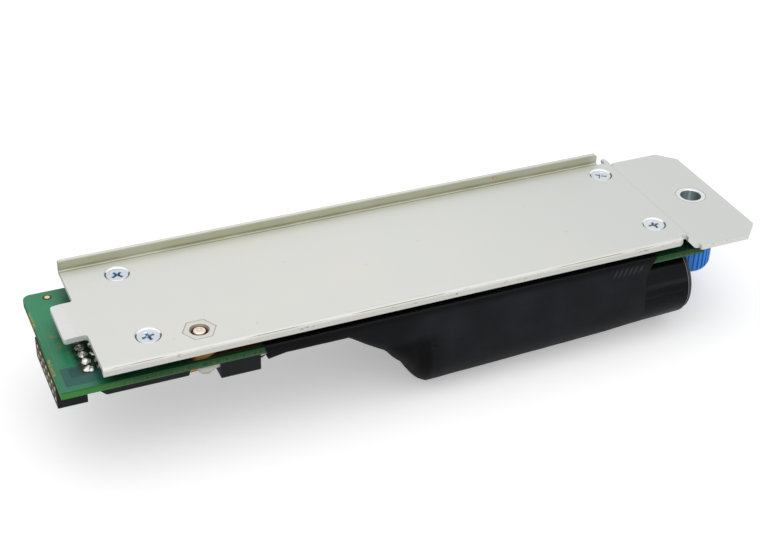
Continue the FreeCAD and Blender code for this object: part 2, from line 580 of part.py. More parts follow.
def make_carrier_plate():
    piece = Piece("carrier_plate")
    kink = "(tan(atan(dim.joggle_drop / dim.joggle_run) / 2) * dim.sheet_thickness)"
    side_view = (
        ("place.plate_left", "place.plate_bottom"),
        (f"place.plate_right - {kink}", "place.plate_bottom"),
        (f"place.tab_left - {kink}", "place.tab_bottom"),
        ("place.tab_right - dim.tab_chamfer", "place.tab_bottom"),
        ("place.tab_right - dim.tab_chamfer", "place.tab_top"),
        ("place.tab_left", "place.tab_top"),
        ("place.plate_right", "place.plate_top"),
        ("place.plate_left", "place.plate_top"),
    )
    piece.pad("XZ_Plane", "place.plate_near", "dim.plate_width", side_view)
    across = runs_along("Y")
    outer_bend = "dim.bend_radius + dim.sheet_thickness"
    piece.soften("Fillet", outer_bend, across, lies_at("place.plate_right", None, "place.plate_top"))
    piece.soften("Fillet", outer_bend, across, lies_at(f"place.tab_left - {kink}", None, "place.tab_bottom"))
    piece.soften("Fillet", "dim.bend_radius", across, lies_at("place.tab_left", None, "place.tab_top"))
    lower_kink = lies_at(f"place.plate_right - {kink}", None, "place.plate_bottom")
    piece.soften("Fillet", "dim.bend_radius", across, lower_kink)

    # The tab is wider than the plate and has its free corners cut off.
    tab_start = "(place.tab_left + dim.bend_radius)"
    tab = (
        (tab_start, "place.tab_near"),
        ("place.tab_right - dim.tab_chamfer", "place.tab_near"),
        ("place.tab_right", "place.tab_near + dim.tab_chamfer"),
        ("place.tab_right", "place.tab_far - dim.tab_chamfer"),
        ("place.tab_right - dim.tab_chamfer", "place.tab_far"),
        (tab_start, "place.tab_far"),
    )
    piece.pad("XY_Plane", "place.tab_bottom", "dim.sheet_thickness", tab)
    upright = runs_along("Z")
    piece.soften("Fillet", "dim.bend_radius", upright, lies_at(tab_start, "place.tab_near"))
    piece.soften("Fillet", "dim.bend_radius", upright, lies_at(tab_start, "place.tab_far"))

    # The near edge turns down into a short lip.
    lip_inside = "place.plate_near + dim.sheet_thickness"
    lip = oblong("place.plate_near", "place.plate_top - dim.lip_drop", lip_inside, "place.plate_top")
    piece.pad("YZ_Plane", "place.plate_left", "place.lip_end - place.plate_left", lip)
    relief = oblong("place.lip_end", "place.plate_near - dim.relief_width",
                    "place.lip_end + dim.relief_width",
                    "place.plate_near + dim.lip_bend + dim.relief_margin")
    piece.cut("XY_Plane", "place.plate_bottom - dim.lip_drop",
              "dim.lip_drop + 2 * dim.sheet_thickness", relief)
    along = runs_along("X")
    piece.soften("Fillet", "dim.lip_bend", along, lies_at(None, "place.plate_near", "place.plate_top"),
                 longer_than("place.plate_length / 2"))
    lip_end = lies_at("place.lip_end", None, "place.plate_top - dim.lip_drop")
    piece.soften("Fillet", "min(dim.lip_corner; dim.lip_drop * 0.9)", across, lip_end)

    # The far edge turns up into a flange with rounded ends.
    flange = oblong("place.plate_far - dim.sheet_thickness", "place.plate_bottom", "place.plate_far",
                    "place.plate_top + dim.flange_rise")
    piece.pad("YZ_Plane", "place.plate_left", "place.flange_end - place.plate_left", flange)
    piece.soften("Fillet", "dim.bend_radius + dim.sheet_thickness / 2", along,
                 longer_than("place.plate_length / 2"),
                 lies_at(None, "place.plate_far", "place.plate_bottom"))
    piece.soften("Fillet", "dim.bend_radius", along,
                 lies_at(None, "place.plate_far - dim.sheet_thickness", "place.plate_top"))
    flange_top = lies_at(None, None, "place.plate_top + dim.flange_rise")
    piece.soften("Fillet", "min(dim.flange_corner; dim.flange_rise * 0.9)", across, flange_top)
    notch = oblong("place.flange_end", "place.plate_far - dim.notch_depth",
                   "place.flange_end + dim.notch_width", "place.plate_far + dim.notch_depth")
    piece.cut("XY_Plane", "place.plate_bottom - dim.notch_depth / 2",
              "2 * dim.sheet_thickness + dim.flange_rise", notch)

    # The tongue at the connector end dips a little.
    tongue_middle = "dim.tongue_shift"
    tongue_low = f"({tongue_middle} - dim.tongue_width / 2)"
    tongue_high = f"({tongue_middle} + dim.tongue_width / 2)"
    tip = "(place.plate_left - dim.tongue_reach)"
    knee = "(place.plate_left - dim.tongue_flat)"
    tongue = (
        ("place.plate_left + dim.sheet_thickness", "place.plate_top"),
        (knee, "place.plate_top"),
        (tip, "place.plate_top - dim.tongue_dip"),
        (tip, "place.plate_bottom - dim.tongue_dip"),
        (knee, "place.plate_bottom"),
        ("place.plate_left + dim.sheet_thickness", "place.plate_bottom"),
    )
    piece.pad("XZ_Plane", tongue_low, "dim.tongue_width", tongue)
    at_tip = lies_at(tip, None, None)
    piece.soften("Fillet", "dim.tongue_corner", upright, at_tip)
    at_root = lies_at("place.plate_left", None, None)
    beside = [lies_at(None, tongue_low, None), lies_at(None, tongue_high, None)]
    piece.soften("Fillet", "dim.tongue_root", upright, at_root,
                 lambda edge: any(test(edge) for test in beside))

    # Countersunk holes for the plate screws, and the holes of the standoff and the ferrule.
    wide = "(dim.screw_head / 2 + dim.head_sink + dim.head_edge + dim.hole_clearance)"
    countersink = (
        ("0", "place.plate_bottom"),
        (f"{wide} - dim.sheet_thickness", "place.plate_bottom"),
        (wide, "place.plate_top"),
        ("0", "place.plate_top"),
    )
    hole = piece.turn("place.screw_left", "place.screw_near", countersink, remove=True)
    piece.repeat([hole], ("X", "place.screw_run", "2"), ("Y", "place.screw_spread", "2"))
    standoff = hexagon("place.standoff_x", "place.standoff_y", "dim.standoff_flats")
    piece.cut("XY_Plane", "place.plate_bottom", "dim.sheet_thickness", standoff)
    ferrule = disc("place.captive_x", "0", "dim.ferrule_diameter / 2")
    piece.cut("XY_Plane", "place.tab_bottom", "dim.sheet_thickness", ferrule)
    return piece.body


# Screws, spacers and the standoff between the plate and the board

def make_plate_screws():
    piece = Piece("plate_screws")
    head, thread = "dim.screw_head / 2", "dim.screw_thread / 2"
    top = "(place.plate_top - dim.head_sink)"
    cone_end = f"({top} - dim.head_edge - ({head} - {thread}))"
    profile = (
        ("0", "place.plate_top - dim.screw_length"),
        (f"{thread} - dim.thread_edge", "place.plate_top - dim.screw_length"),
        (thread, "place.plate_top - dim.screw_length + dim.thread_edge"),
        (thread, cone_end),
        (head, f"{top} - dim.head_edge"),
        (head, top),
        ("0", top),
    )
    screw = piece.turn("place.screw_left", "place.screw_near", profile)
    x, y = "place.screw_left", "place.screw_near"
    long, thin = "dim.recess_span / 2", "dim.recess_width / 2"
    floor = f"{top} - dim.recess_depth"
    first = piece.cut("XY_Plane", floor, "dim.recess_depth",
                      oblong(f"{x} - {long}", f"{y} - {thin}", f"{x} + {long}", f"{y} + {thin}"))
    second = piece.cut("XY_Plane", floor, "dim.recess_depth",
                       oblong(f"{x} - {thin}", f"{y} - {long}", f"{x} + {thin}", f"{y} + {long}"))
    piece.repeat([screw, first, second], ("X", "place.screw_run", "2"), ("Y", "place.screw_spread", "2"))
    return piece.body


def make_board_spacers():
    piece = Piece("board_spacers")
    bore = "(dim.screw_thread / 2 + dim.thread_clearance)"
    cone_depth = "dim.head_sink + dim.head_edge + (dim.screw_head - dim.screw_thread) / 2"
    seat = f"({cone_depth} - dim.sheet_thickness)"
    profile = (
        (bore, "place.board_bottom"),
        ("dim.spacer_shank / 2", "place.board_bottom"),
        ("dim.spacer_shank / 2", "place.board_top"),
        ("dim.spacer_diameter / 2", "place.board_top"),
        ("dim.spacer_diameter / 2", "place.plate_bottom"),
        (f"{bore} + {seat} + dim.thread_clearance", "place.plate_bottom"),
        (bore, f"place.plate_bottom - {seat} - dim.thread_clearance"),
    )
    spacer = piece.turn("place.screw_left", "place.screw_near", profile)
    piece.repeat([spacer], ("X", "place.screw_run", "2"), ("Y", "place.screw_spread", "2"))
    return piece.body


def make_hex_standoff():
    piece = Piece("hex_standoff")
    outline = hexagon("place.standoff_x", "place.standoff_y", "dim.standoff_flats")
    bore = disc("place.standoff_x", "place.standoff_y", "dim.standoff_bore / 2")
    foot = "place.board_top + dim.pad_thickness"
    piece.pad("XY_Plane", foot, f"place.plate_top - ({foot})", outline, bore)
    piece.soften("Chamfer", "dim.standoff_bevel",
                 lies_at("place.standoff_x", "place.standoff_y", "place.plate_top"))
    return piece.body


def make_standoff_screw():
    piece = Piece("standoff_screw")
    head, thread = "dim.pan_head / 2", "dim.screw_thread / 2"
    tip = "(place.plate_top - dim.screw_recess)"
    profile = (
        ("0", "place.board_bottom - dim.pan_height"),
        (f"{head} - dim.pan_edge", "place.board_bottom - dim.pan_height"),
        (head, "place.board_bottom - dim.pan_height + dim.pan_edge"),
        (head, "place.board_bottom"),
        (thread, "place.board_bottom"),
        (thread, f"{tip} - {thread} * 0.3"),
        (f"{thread} * 0.82", f"{tip} - {thread} * 0.06"),
        (f"{thread} * 0.6", tip),
        ("0", tip),
    )
    piece.turn("place.standoff_x", "place.standoff_y", profile)
    return piece.body


# The captive screw in the tab

def make_captive_ferrule():
    piece = Piece("captive_ferrule")
    bore = "dim.ferrule_bore / 2"
    barrel = "dim.barrel_diameter / 2"
    profile = (
        ("dim.captive_shank / 2 + dim.slide_play", "place.barrel_bottom"),
        (barrel, "place.barrel_bottom"),
        (barrel, "place.flange_bottom"),
        ("dim.ferrule_flange / 2", "place.flange_bottom"),
        ("dim.ferrule_flange / 2", "place.tab_bottom"),
        ("dim.ferrule_diameter / 2", "place.tab_bottom"),
        ("dim.ferrule_diameter / 2", "place.tab_top"),
        (f"{bore} + dim.bore_edge", "place.tab_top"),
        (bore, "place.tab_top - dim.bore_edge"),
        (bore, "place.barrel_bottom + dim.barrel_lip"),
        ("dim.captive_shank / 2 + dim.slide_play", "place.barrel_bottom + dim.barrel_lip"),
    )
    piece.turn("place.captive_x", "0", profile)
    return piece.body


def make_captive_screw():
    piece = Piece("captive_screw")
    tip = "(place.tab_top - dim.captive_recess)"
    collar_low = "(place.barrel_bottom + dim.barrel_lip + dim.seat_play)"
    collar_high = f"({collar_low} + dim.collar_height)"
    collar = "(dim.ferrule_bore / 2 - dim.slide_play)"
    shank, thread = "dim.captive_shank / 2", "dim.captive_thread / 2"
    head_low = "(place.knob_bottom + (dim.knob_floor - dim.head_height) / 2)"
    profile = (
        ("0", head_low),
        ("dim.head_diameter / 2", head_low),
        ("dim.head_diameter / 2", f"{head_low} + dim.head_height"),
        (shank, f"{head_low} + dim.head_height"),
        (shank, collar_low),
        (collar, collar_low),
        (collar, collar_high),
        (thread, collar_high),
        (thread, f"{tip} - dim.tip_edge"),
        (f"{thread} - dim.tip_edge", tip),
        ("0", tip),
    )
    piece.turn("place.captive_x", "0", profile)
    return piece.body


def make_captive_washer():
    piece = Piece("captive_washer")
    outer = disc("place.captive_x", "0", "dim.washer_diameter / 2")
    bore = disc("place.captive_x", "0", "dim.captive_shank / 2 + dim.slide_play")
    piece.pad("XY_Plane", "place.knob_inside + dim.seat_play", "dim.washer_thickness - dim.seat_play",
              outer, bore)
    return piece.body


def make_captive_spring():
    low = "(place.washer_top + dim.spring_wire / 2)"
    rise = f"(place.flange_bottom - dim.spring_wire / 2 - {low})"
    helix = doc.addObject("Part::Helix", "spring_line")
    helix.setExpression("Pitch", f"{rise} / dim.spring_coils")
    helix.setExpression("Height", rise)
    helix.setExpression("Radius", "dim.spring_radius")
    helix.setExpression("Placement.Base.x", "place.captive_x")
    helix.setExpression("Placement.Base.z", low)
    ring = doc.addObject("Part::RegularPolygon", "spring_section")
    ring.Polygon = 8
    ring.setExpression("Circumradius", "dim.spring_wire / 2")
    ring.Placement.Rotation = FreeCAD.Rotation(Vector(1, 0, 0), 90)
    ring.setExpression("Placement.Base.x", "place.captive_x + dim.spring_radius")
    ring.setExpression("Placement.Base.z", low)
    doc.recompute()
    spring = doc.addObject("Part::Sweep", "captive_spring")
    spring.Sections = [ring]
    spring.Spine = (helix, [f"Edge{index}" for index in range(1, len(helix.Shape.Edges) + 1)])
    spring.Solid = True
    spring.Frenet = True
    return spring


def make_thumb_knob():
    piece = Piece("thumb_knob")
    outer = "dim.knob_diameter / 2"
    skirt = f"({outer} - dim.knob_wall)"
    shank = "dim.captive_shank / 2"
    head = "dim.head_diameter / 2"
    head_low = "(place.knob_bottom + (dim.knob_floor - dim.head_height) / 2)"
    top = "(place.knob_bottom + dim.knob_height)"
    profile = (
        ("0", "place.knob_bottom"),
        (f"{outer} - dim.knob_round", "place.knob_bottom"),
        (f"{outer} - 0.3 * dim.knob_round", "place.knob_bottom + 0.3 * dim.knob_round"),
        (outer, "place.knob_bottom + dim.knob_round"),
        (outer, top),
        (skirt, top),
        (skirt, "place.knob_inside"),
        (shank, "place.knob_inside"),
        (shank, f"{head_low} + dim.head_height"),
        (head, f"{head_low} + dim.head_height"),
        (head, head_low),
        ("0", head_low),
    )
    piece.turn("place.captive_x", "0", profile)
    x = "place.captive_x"
    groove = oblong(f"{x} + {outer} - dim.rib_depth", "-dim.rib_width / 2", f"{x} + {outer} + dim.rib_depth",
                    "dim.rib_width / 2")
    first = piece.cut("XY_Plane", "place.knob_bottom", "dim.knob_height", groove)
    ring = piece.body.newObject("PartDesign::PolarPattern", piece.label("ribs"))
    ring.Originals = [first]
    axis = piece.sketch("XY_Plane", "0", shift_u="place.captive_x")
    ring.Axis = (axis, ["N_Axis"])
    ring.Angle = 360
    ring.setExpression("Occurrences", "dim.rib_count")
    piece.finish(ring)
    return piece.body


# The circuit board and what is soldered to it

def make_circuit_board():
    piece = Piece("circuit_board")
    outline = oblong("place.board_left", "place.board_near", "place.board_right", "place.board_far")
    standoff_hole = disc("place.standoff_x", "place.standoff_y", "dim.standoff_bore / 2")
    piece.pad("XY_Plane", "place.board_bottom", "dim.board_thickness", outline, standoff_hole)
    corner = lies_at("place.board_left", "place.board_far", None)
    piece.soften("Fillet", "dim.board_corner", runs_along("Z"), corner)
    shank = disc("place.screw_left", "place.screw_near", "dim.spacer_shank / 2")
    shank_hole = piece.cut("XY_Plane", "place.board_bottom", "dim.board_thickness", shank)
    piece.repeat([shank_hole], ("X", "place.screw_run", "2"), ("Y", "place.screw_spread", "2"))
    tail = disc("place.tail_first", "place.column_near", "dim.tail_bore / 2")
    tail_hole = piece.cut("XY_Plane", "place.board_bottom", "dim.board_thickness", tail)
    piece.repeat([tail_hole], ("X", "dim.contact_step", "2"),
                 ("Y", "dim.contact_step", "dim.contact_columns"))
    return piece.body


def make_board_pads():
    piece = Piece("board_pads")
    fiducial = disc("place.board_left + dim.fiducial_inset_x", "place.board_far - dim.fiducial_inset_y",
                    "dim.fiducial_diameter / 2")
    ground = disc("place.standoff_x", "place.standoff_y", "dim.ground_pad / 2")
    bore = disc("place.standoff_x", "place.standoff_y", "dim.standoff_bore / 2")
    piece.pad("XY_Plane", "place.board_top", "dim.pad_thickness", fiducial, ground, bore)
    return piece.body


def make_connector_housing():
    piece = Piece("connector_housing")
    half = "place.connector_width / 2"
    shell = oblong(f"dim.connector_shift - {half}", "place.connector_bottom", f"dim.connector_shift + {half}",
                   "place.board_bottom")
    piece.pad("YZ_Plane", "place.connector_left", "dim.connector_depth", shell)
    mouth = "dim.cavity_size / 2"
    low = oblong(f"place.column_near - {mouth}", f"place.row_lower - {mouth}",
                 f"place.column_near + {mouth}", f"place.row_lower + {mouth}")
    cavity = piece.cut("YZ_Plane", "place.connector_left", "dim.cavity_depth", low)
    narrow = "dim.contact_size / 2"
    slot = oblong(f"place.column_near - {narrow}", f"place.row_lower - {narrow}",
                  f"place.column_near + {narrow}", f"place.row_lower + {narrow}")
    slit = piece.cut("YZ_Plane", "place.connector_left", "dim.connector_depth", slot)
    piece.repeat([cavity, slit], ("Y", "dim.contact_step", "dim.contact_columns"),
                 ("Z", "dim.contact_step", "2"))
    return piece.body


def make_connector_contacts():
    piece = Piece("connector_contacts")
    half = "(dim.contact_size / 2)"
    start = "place.connector_left + dim.contact_recess"
    top = "place.board_top + dim.tail_rise"
    loops = []
    for row, tail in (("place.row_upper", "place.tail_first"), ("place.row_lower", "place.tail_second")):
        loops.append((
            (start, f"{row} - {half}"),
            (f"{tail} + {half}", f"{row} - {half}"),
            (f"{tail} + {half}", top),
            (f"{tail} - {half}", top),
            (f"{tail} - {half}", f"{row} + {half}"),
            (start, f"{row} + {half}"),
        ))
    wires = piece.pad("XZ_Plane", f"place.column_near - {half}", "dim.contact_size", *loops)
    piece.repeat([wires], ("Y", "dim.contact_step", "dim.contact_columns"))
    return piece.body


def make_solder_joints():
    piece = Piece("solder_joints")
    hole = "(dim.contact_size * 0.7072)"
    profile = (
        (hole, "place.board_top"),
        ("dim.solder_radius", "place.board_top"),
        ("dim.solder_radius * 0.72", "place.board_top + dim.solder_height * 0.45"),
        (f"{hole} * 1.14", "place.board_top + dim.solder_height"),
        (hole, "place.board_top + dim.solder_height"),
    )
    joint = piece.turn("place.tail_first", "place.column_near", profile)
    piece.repeat([joint], ("X", "dim.contact_step", "2"), ("Y", "dim.contact_step", "dim.contact_columns"))
    return piece.body


def make_board_parts():
    """Makes the circuits of the charger, on both faces of the board's free left part."""
    x = "(place.plate_left + dim.chip_inset)"
    under = "place.board_bottom"
    chip = block("charger_chip", x, "dim.chip_shift", "place.board_top", "dim.chip_side", "dim.chip_side",
                 "dim.chip_height")
    gauge = block("gauge_chip", x, "dim.gauge_shift", "place.board_top", "dim.gauge_length",
                  "dim.gauge_width", "dim.chip_height")
    coil = Piece("power_inductor")
    coil_x = "(place.plate_left + dim.coil_inset)"
    coil.pad("XY_Plane", f"{under} - dim.coil_height", "dim.coil_height",
             oblong(coil_x, "dim.coil_shift", f"{coil_x} + dim.coil_side", "dim.coil_shift + dim.coil_side"))
    coil.soften("Chamfer", "dim.coil_side / 6", runs_along("Z"))
    switches = Piece("power_transistors")
    first = switches.pad("XY_Plane", f"{under} - dim.chip_height", "dim.chip_height",
                         oblong(x, "dim.switch_shift", f"{x} + dim.switch_length",
                                "dim.switch_shift + dim.switch_width"))
    switches.repeat([first], ("X", "dim.switch_step", "2"))
    parts = [chip, gauge, coil.body, switches.body]
    row_length = "((dim.part_count - 1) * dim.part_step + dim.chip_part_length)"
    start = f"(place.sleeve_left - dim.part_gap - {row_length})"
    for name, height, y in (
            ("chip_capacitors", "dim.capacitor_height", "dim.capacitor_shift"),
            ("chip_resistors", "dim.resistor_height", "dim.resistor_shift")):
        row = Piece(name)
        one = row.pad("XY_Plane", "place.board_top", height,
                      oblong(start, y, f"{start} + dim.chip_part_length", f"{y} + dim.chip_part_width"))
        row.repeat([one], ("X", "dim.part_step", "dim.part_count"))
        parts.append(row.body)
    return parts


def make_insulating_tape():
    piece = Piece("insulating_tape")
    left = "(place.plate_left + dim.tape_inset)"
    near = "(place.board_near + dim.tape_margin)"
    outline = oblong(left, near, f"{left} + dim.tape_length", f"{near} + dim.tape_width")
    piece.pad("XY_Plane", "place.board_top", "dim.tape_thickness", outline)
    hole = disc("place.standoff_x", "place.standoff_y", "dim.tape_window / 2")
    piece.cut("XY_Plane", "place.board_top", "dim.tape_thickness", hole)
    return piece.body


# The battery plug, its leads and the parts under the board's near edge

def make_foam_strip():
    piece = Piece("foam_strip")
    left = "(place.plate_left + dim.strip_inset)"
    right = f"({left} + dim.strip_length)"
    low = "place.board_bottom - dim.strip_thickness"
    outline = (
        (left, "place.board_bottom"),
        (f"{left} + dim.strip_thickness", low),
        (right, low),
        (right, "place.board_bottom"),
    )
    piece.pad("XZ_Plane", "place.plug_near", "dim.strip_width", outline)
    return piece.body


BOARD_LEAD = ("(place.plug_near + dim.board_lead_diameter / 2 + dim.edge_gap)",
              "(place.board_bottom - dim.board_lead_diameter / 2)")
UPPER_LEAD = (BOARD_LEAD[0], "(place.board_bottom - dim.lead_diameter / 2 - dim.lead_drop)")
LOWER_LEAD = (f"({BOARD_LEAD[0]} + dim.lead_step)",
              "(place.board_bottom - 1.5 * dim.lead_diameter - dim.lead_drop - dim.lead_gap)")


def make_battery_plug():
    piece = Piece("battery_plug")
    low = "(place.board_bottom - dim.plug_height)"
    far = "(place.plug_near + dim.plug_width)"
    piece.pad("XY_Plane", low, "dim.plug_height",
              oblong("place.plug_left", "place.plug_near", "place.plug_right", far))
    piece.soften("Fillet", "dim.plug_corner", lies_at(None, None, low))
    tube = disc(*BOARD_LEAD, "dim.board_lead_diameter / 2 + dim.thread_clearance")
    piece.cut("YZ_Plane", "place.plug_left", "dim.lead_entry", tube)
    for lead in (UPPER_LEAD, LOWER_LEAD):
        bore = disc(*lead, "dim.lead_diameter / 2 + dim.thread_clearance")
        piece.cut("YZ_Plane", "place.plug_right - dim.lead_entry", "dim.lead_entry", bore)
    return piece.body


def make_board_lead():
    """Makes the short sleeved lead in front of the plug, and its tinned end."""
    start = "(place.plug_left - dim.board_lead_length)"
    sleeve = Piece("board_lead")
    sleeve.pad("YZ_Plane", start, "dim.board_lead_length + dim.lead_entry",
               disc(*BOARD_LEAD, "dim.board_lead_diameter / 2"))
    end = Piece("lead_end")
    end.pad("YZ_Plane", f"{start} - dim.end_length", "dim.end_length",
            disc(*BOARD_LEAD, "dim.end_diameter / 2"))
    end.soften("Fillet", "dim.end_diameter / 5", lies_at(f"{start} - dim.end_length", None, None))
    return [sleeve.body, end.body]


def make_battery_leads():
    """Makes the two leads from the plug, through the sleeve's neck, to the left ends of the cells."""
    start = "place.plug_right - dim.lead_entry"
    turn = "place.plug_right + dim.lead_straight"
    flat = "place.neck_left - dim.lead_level"
    middle = "place.neck_left + dim.neck_length / 2"
    past = "place.neck_right + dim.lead_turn_down"
    fan = "place.neck_right + dim.lead_fan"
    ceiling = "(place.board_bottom - dim.lead_diameter / 2 - dim.lead_ceiling)"
    fall = "place.cell_height + dim.wrap_radius * 0.75"
    end = "place.cell_left - dim.link_thickness - dim.lead_diameter / 2"
    end_height = "place.cell_height + dim.lead_diameter * 1.4"
    first = "(place.board_near + dim.lead_inset)"
    second = f"({first} + dim.lead_spread)"
    positive = (
        (start, *UPPER_LEAD),
        (turn, *UPPER_LEAD),
        (flat, first, ceiling),
        (middle, f"{first} + dim.lead_drift", ceiling),
        (past, f"{first} + dim.lead_turn", ceiling),
        (fan, "place.cell_near - 2 * dim.lead_diameter", fall),
        (end, "place.cell_near - dim.lead_diameter", end_height),
    )
    negative = (
        (start, *LOWER_LEAD),
        (turn, *LOWER_LEAD),
        (flat, second, ceiling),
        (middle, f"{second} + dim.lead_drift", ceiling),
        (past, f"{first} + dim.lead_cross", ceiling),
        (fan, "place.cell_far - 5 * dim.lead_diameter", fall),
        (end, "place.cell_far - dim.lead_diameter", end_height),
    )
    return [plain_feature("positive_lead", route(positive, value("dim.lead_diameter"))),
            plain_feature("negative_lead", route(negative, value("dim.lead_diameter")))]


# The two cells, tilted under the board

def lean(body, y):
    """Puts a piece that is modelled along x from 0, on the axis, on the axis of a cell."""
    body.setExpression("Placement.Base.x", "place.cell_left")
    body.setExpression("Placement.Base.y", y)
    body.setExpression("Placement.Base.z", "place.cell_height")
    body.setExpression("Placement.Rotation.Angle", "-place.cell_tilt")
    body.Placement.Rotation.Axis = Vector(0, 1, 0)
    return body


def turn_along(piece, loop):
    """Turns a half profile of length and radius about the x axis."""
    sketch = piece.sketch("XY_Plane", "0")
    draw(sketch, loop)
    feature = piece.body.newObject("PartDesign::Revolution", piece.label("turn"))
    feature.Profile = sketch
    feature.ReferenceAxis = (sketch, ["H_Axis"])
    feature.Angle = 360
    return piece.finish(feature)


def make_cell(name, y, positive_left):
    """Makes a steel can with its crimped neck and button, and its wrap."""
    def along(distance):
        return distance if positive_left else f"dim.cell_length - ({distance})"
    can = "(dim.wrap_radius - dim.wrap_thickness)"
    shoulder = "dim.wrap_thickness"
    button = "dim.button_diameter / 2"
    lip = "(dim.wrap_radius - dim.wrap_lip - dim.wrap_thickness)"
    groove = "dim.groove_inset"
    profile = (
        (along("0"), "0"),
        (along("0"), button),
        (along(f"{shoulder} + dim.end_dip"), button),
        (along(f"{shoulder} + dim.end_dip"), f"{can} - dim.end_rim - dim.end_dip"),
        (along(shoulder), f"{can} - dim.end_rim"),
        (along(shoulder), f"{can} - dim.cell_edge"),
        (along(f"{shoulder} + dim.cell_edge"), can),
        (along(f"{groove} - dim.groove_width / 2"), can),
        (along(groove), f"{can} - dim.groove_depth"),
        (along(f"{groove} + dim.groove_width / 2"), can),
        (along(f"dim.cell_length - {shoulder} - dim.cell_edge"), can),
        (along(f"dim.cell_length - {shoulder}"), f"{can} - dim.cell_edge"),
        (along(f"dim.cell_length - {shoulder}"), f"{lip} - {shoulder}"),
        (along("dim.cell_length"), f"{lip} - 2 * {shoulder}"),
        (along("dim.cell_length"), "0"),
    )
    cell = Piece(name)
    turn_along(cell, profile)
    wrap = Piece(f"{name}_wrap")
    outer = "dim.wrap_radius"
    edge = "dim.cell_edge"
    wrap_profile = (
        ("0", lip),
        ("0", f"{can} - {edge}"),
        (edge, outer),
        (f"dim.cell_length - {edge}", outer),
        ("dim.cell_length", f"{can} - {edge}"),
        ("dim.cell_length", lip),
        (f"dim.cell_length - {shoulder}", lip),
        (f"dim.cell_length - {shoulder}", f"{can} - {edge}"),
        (f"dim.cell_length - {shoulder} - {edge}", can),
        (f"{shoulder} + {edge}", can),
        (shoulder, f"{can} - {edge}"),
        (shoulder, lip),
    )
    turn_along(wrap, wrap_profile)
    return [lean(cell.body, y), lean(wrap.body, y)]


def make_cells():
    return make_cell("near_cell", "place.cell_near", True) + make_cell("far_cell", "place.cell_far", False)


def make_cell_straps():
    """Makes the strip that joins the cells, the two lead tabs and the board over the right ends."""
    pitch = "(2 * dim.wrap_radius + dim.cell_play)"
    half = "dim.link_width / 2"
    link = Piece("series_link")
    link.pad("YZ_Plane", "dim.cell_length", "dim.link_thickness",
             oblong(f"-{half}", f"-{half}", f"{pitch} + {half}", half))
    tabs = Piece("lead_tabs")
    first = tabs.pad("YZ_Plane", "-dim.link_thickness", "dim.link_thickness",
                     oblong("-dim.tab_strip / 2", f"-{half}", "dim.tab_strip / 2", half))
    tabs.repeat([first], ("Y", pitch, "2"))
    cover = Piece("end_insulator")
    radius = "dim.insulator_radius"
    cover.pad("YZ_Plane", "dim.cell_length + dim.link_thickness", "dim.insulator_thickness",
              oblong(f"-{radius}", f"-{radius}", f"{pitch} + {radius}", radius))
    cover.soften("Fillet", f"{radius} * 0.98", runs_along("X"))
    return [lean(piece.body, "place.cell_near") for piece in (link, tabs, cover)]


def make_foam_pads():
    """Makes the two foam pads that fill the wedge between the cells and the board."""
    pads = []
    width = "(4 * dim.wrap_radius - 2 * dim.foam_margin)"
    near = f"(dim.cell_shift - {width} / 2)"
    far_start = "place.cell_left + dim.cell_length - dim.foam_inset - dim.foam_length"
    for name, start in (
            ("left_foam_pad", "place.cell_left + dim.foam_inset"),
            ("right_foam_pad", far_start)):
        depth = "(dim.cell_gap_left + dim.foam_sink)"
        bar = block(f"{name}_bar", start, near, f"place.board_bottom - {depth}",
                    "dim.foam_length", width, depth)
        tools = []
        for side in ("near", "far"):
            tool = doc.addObject("Part::Cylinder", f"{name}_{side}_tool")
            tool.setExpression("Radius", "dim.wrap_radius + dim.thread_clearance")
            tool.setExpression("Height", "dim.cell_length")
            tool.Placement.Rotation.Axis = Vector(0, 1, 0)
            tool.setExpression("Placement.Rotation.Angle", "90 - place.cell_tilt")
            tool.setExpression("Placement.Base.x", "place.cell_left")
            tool.setExpression("Placement.Base.y", f"place.cell_{side}")
            tool.setExpression("Placement.Base.z", "place.cell_height")
            tools.append(tool)
        hollow = doc.addObject("Part::MultiFuse", f"{name}_hollow")
        hollow.Shapes = tools
        pad = doc.addObject("Part::Cut", name)
        pad.Base, pad.Tool = bar, hollow
        pads.append(pad)
    return pads


def make_thermistor():
    """Makes the temperature bead that lies in the valley between the cells."""
    bead = Piece("thermistor")
    radius = "dim.thermistor_diameter / 2"
    reach = f"(dim.wrap_radius + {radius} + dim.thread_clearance)"
    half_pitch = "(dim.wrap_radius + dim.cell_play / 2)"
    turn_along(bead, (
        ("0", "0"),
        ("dim.thermistor_round", radius),
        ("dim.thermistor_length - dim.thermistor_round", radius),
        ("dim.thermistor_length", "0"),
    ))
    body = bead.body
    start = "(dim.foam_inset + dim.foam_length + dim.thermistor_gap)"
    body.setExpression("Placement.Base.x", f"place.cell_left + {start}")
    body.setExpression("Placement.Base.y", "dim.cell_shift")
    along = f"({start} * sin(place.cell_tilt))"
    rise = f"sqrt({reach} ^ 2 - {half_pitch} ^ 2)"
    body.setExpression("Placement.Base.z", f"place.cell_height + {along} + {rise} / cos(place.cell_tilt)")
    body.Placement.Rotation.Axis = Vector(0, 1, 0)
    body.setExpression("Placement.Rotation.Angle", "-place.cell_tilt")
    return body


# The shrink sleeve

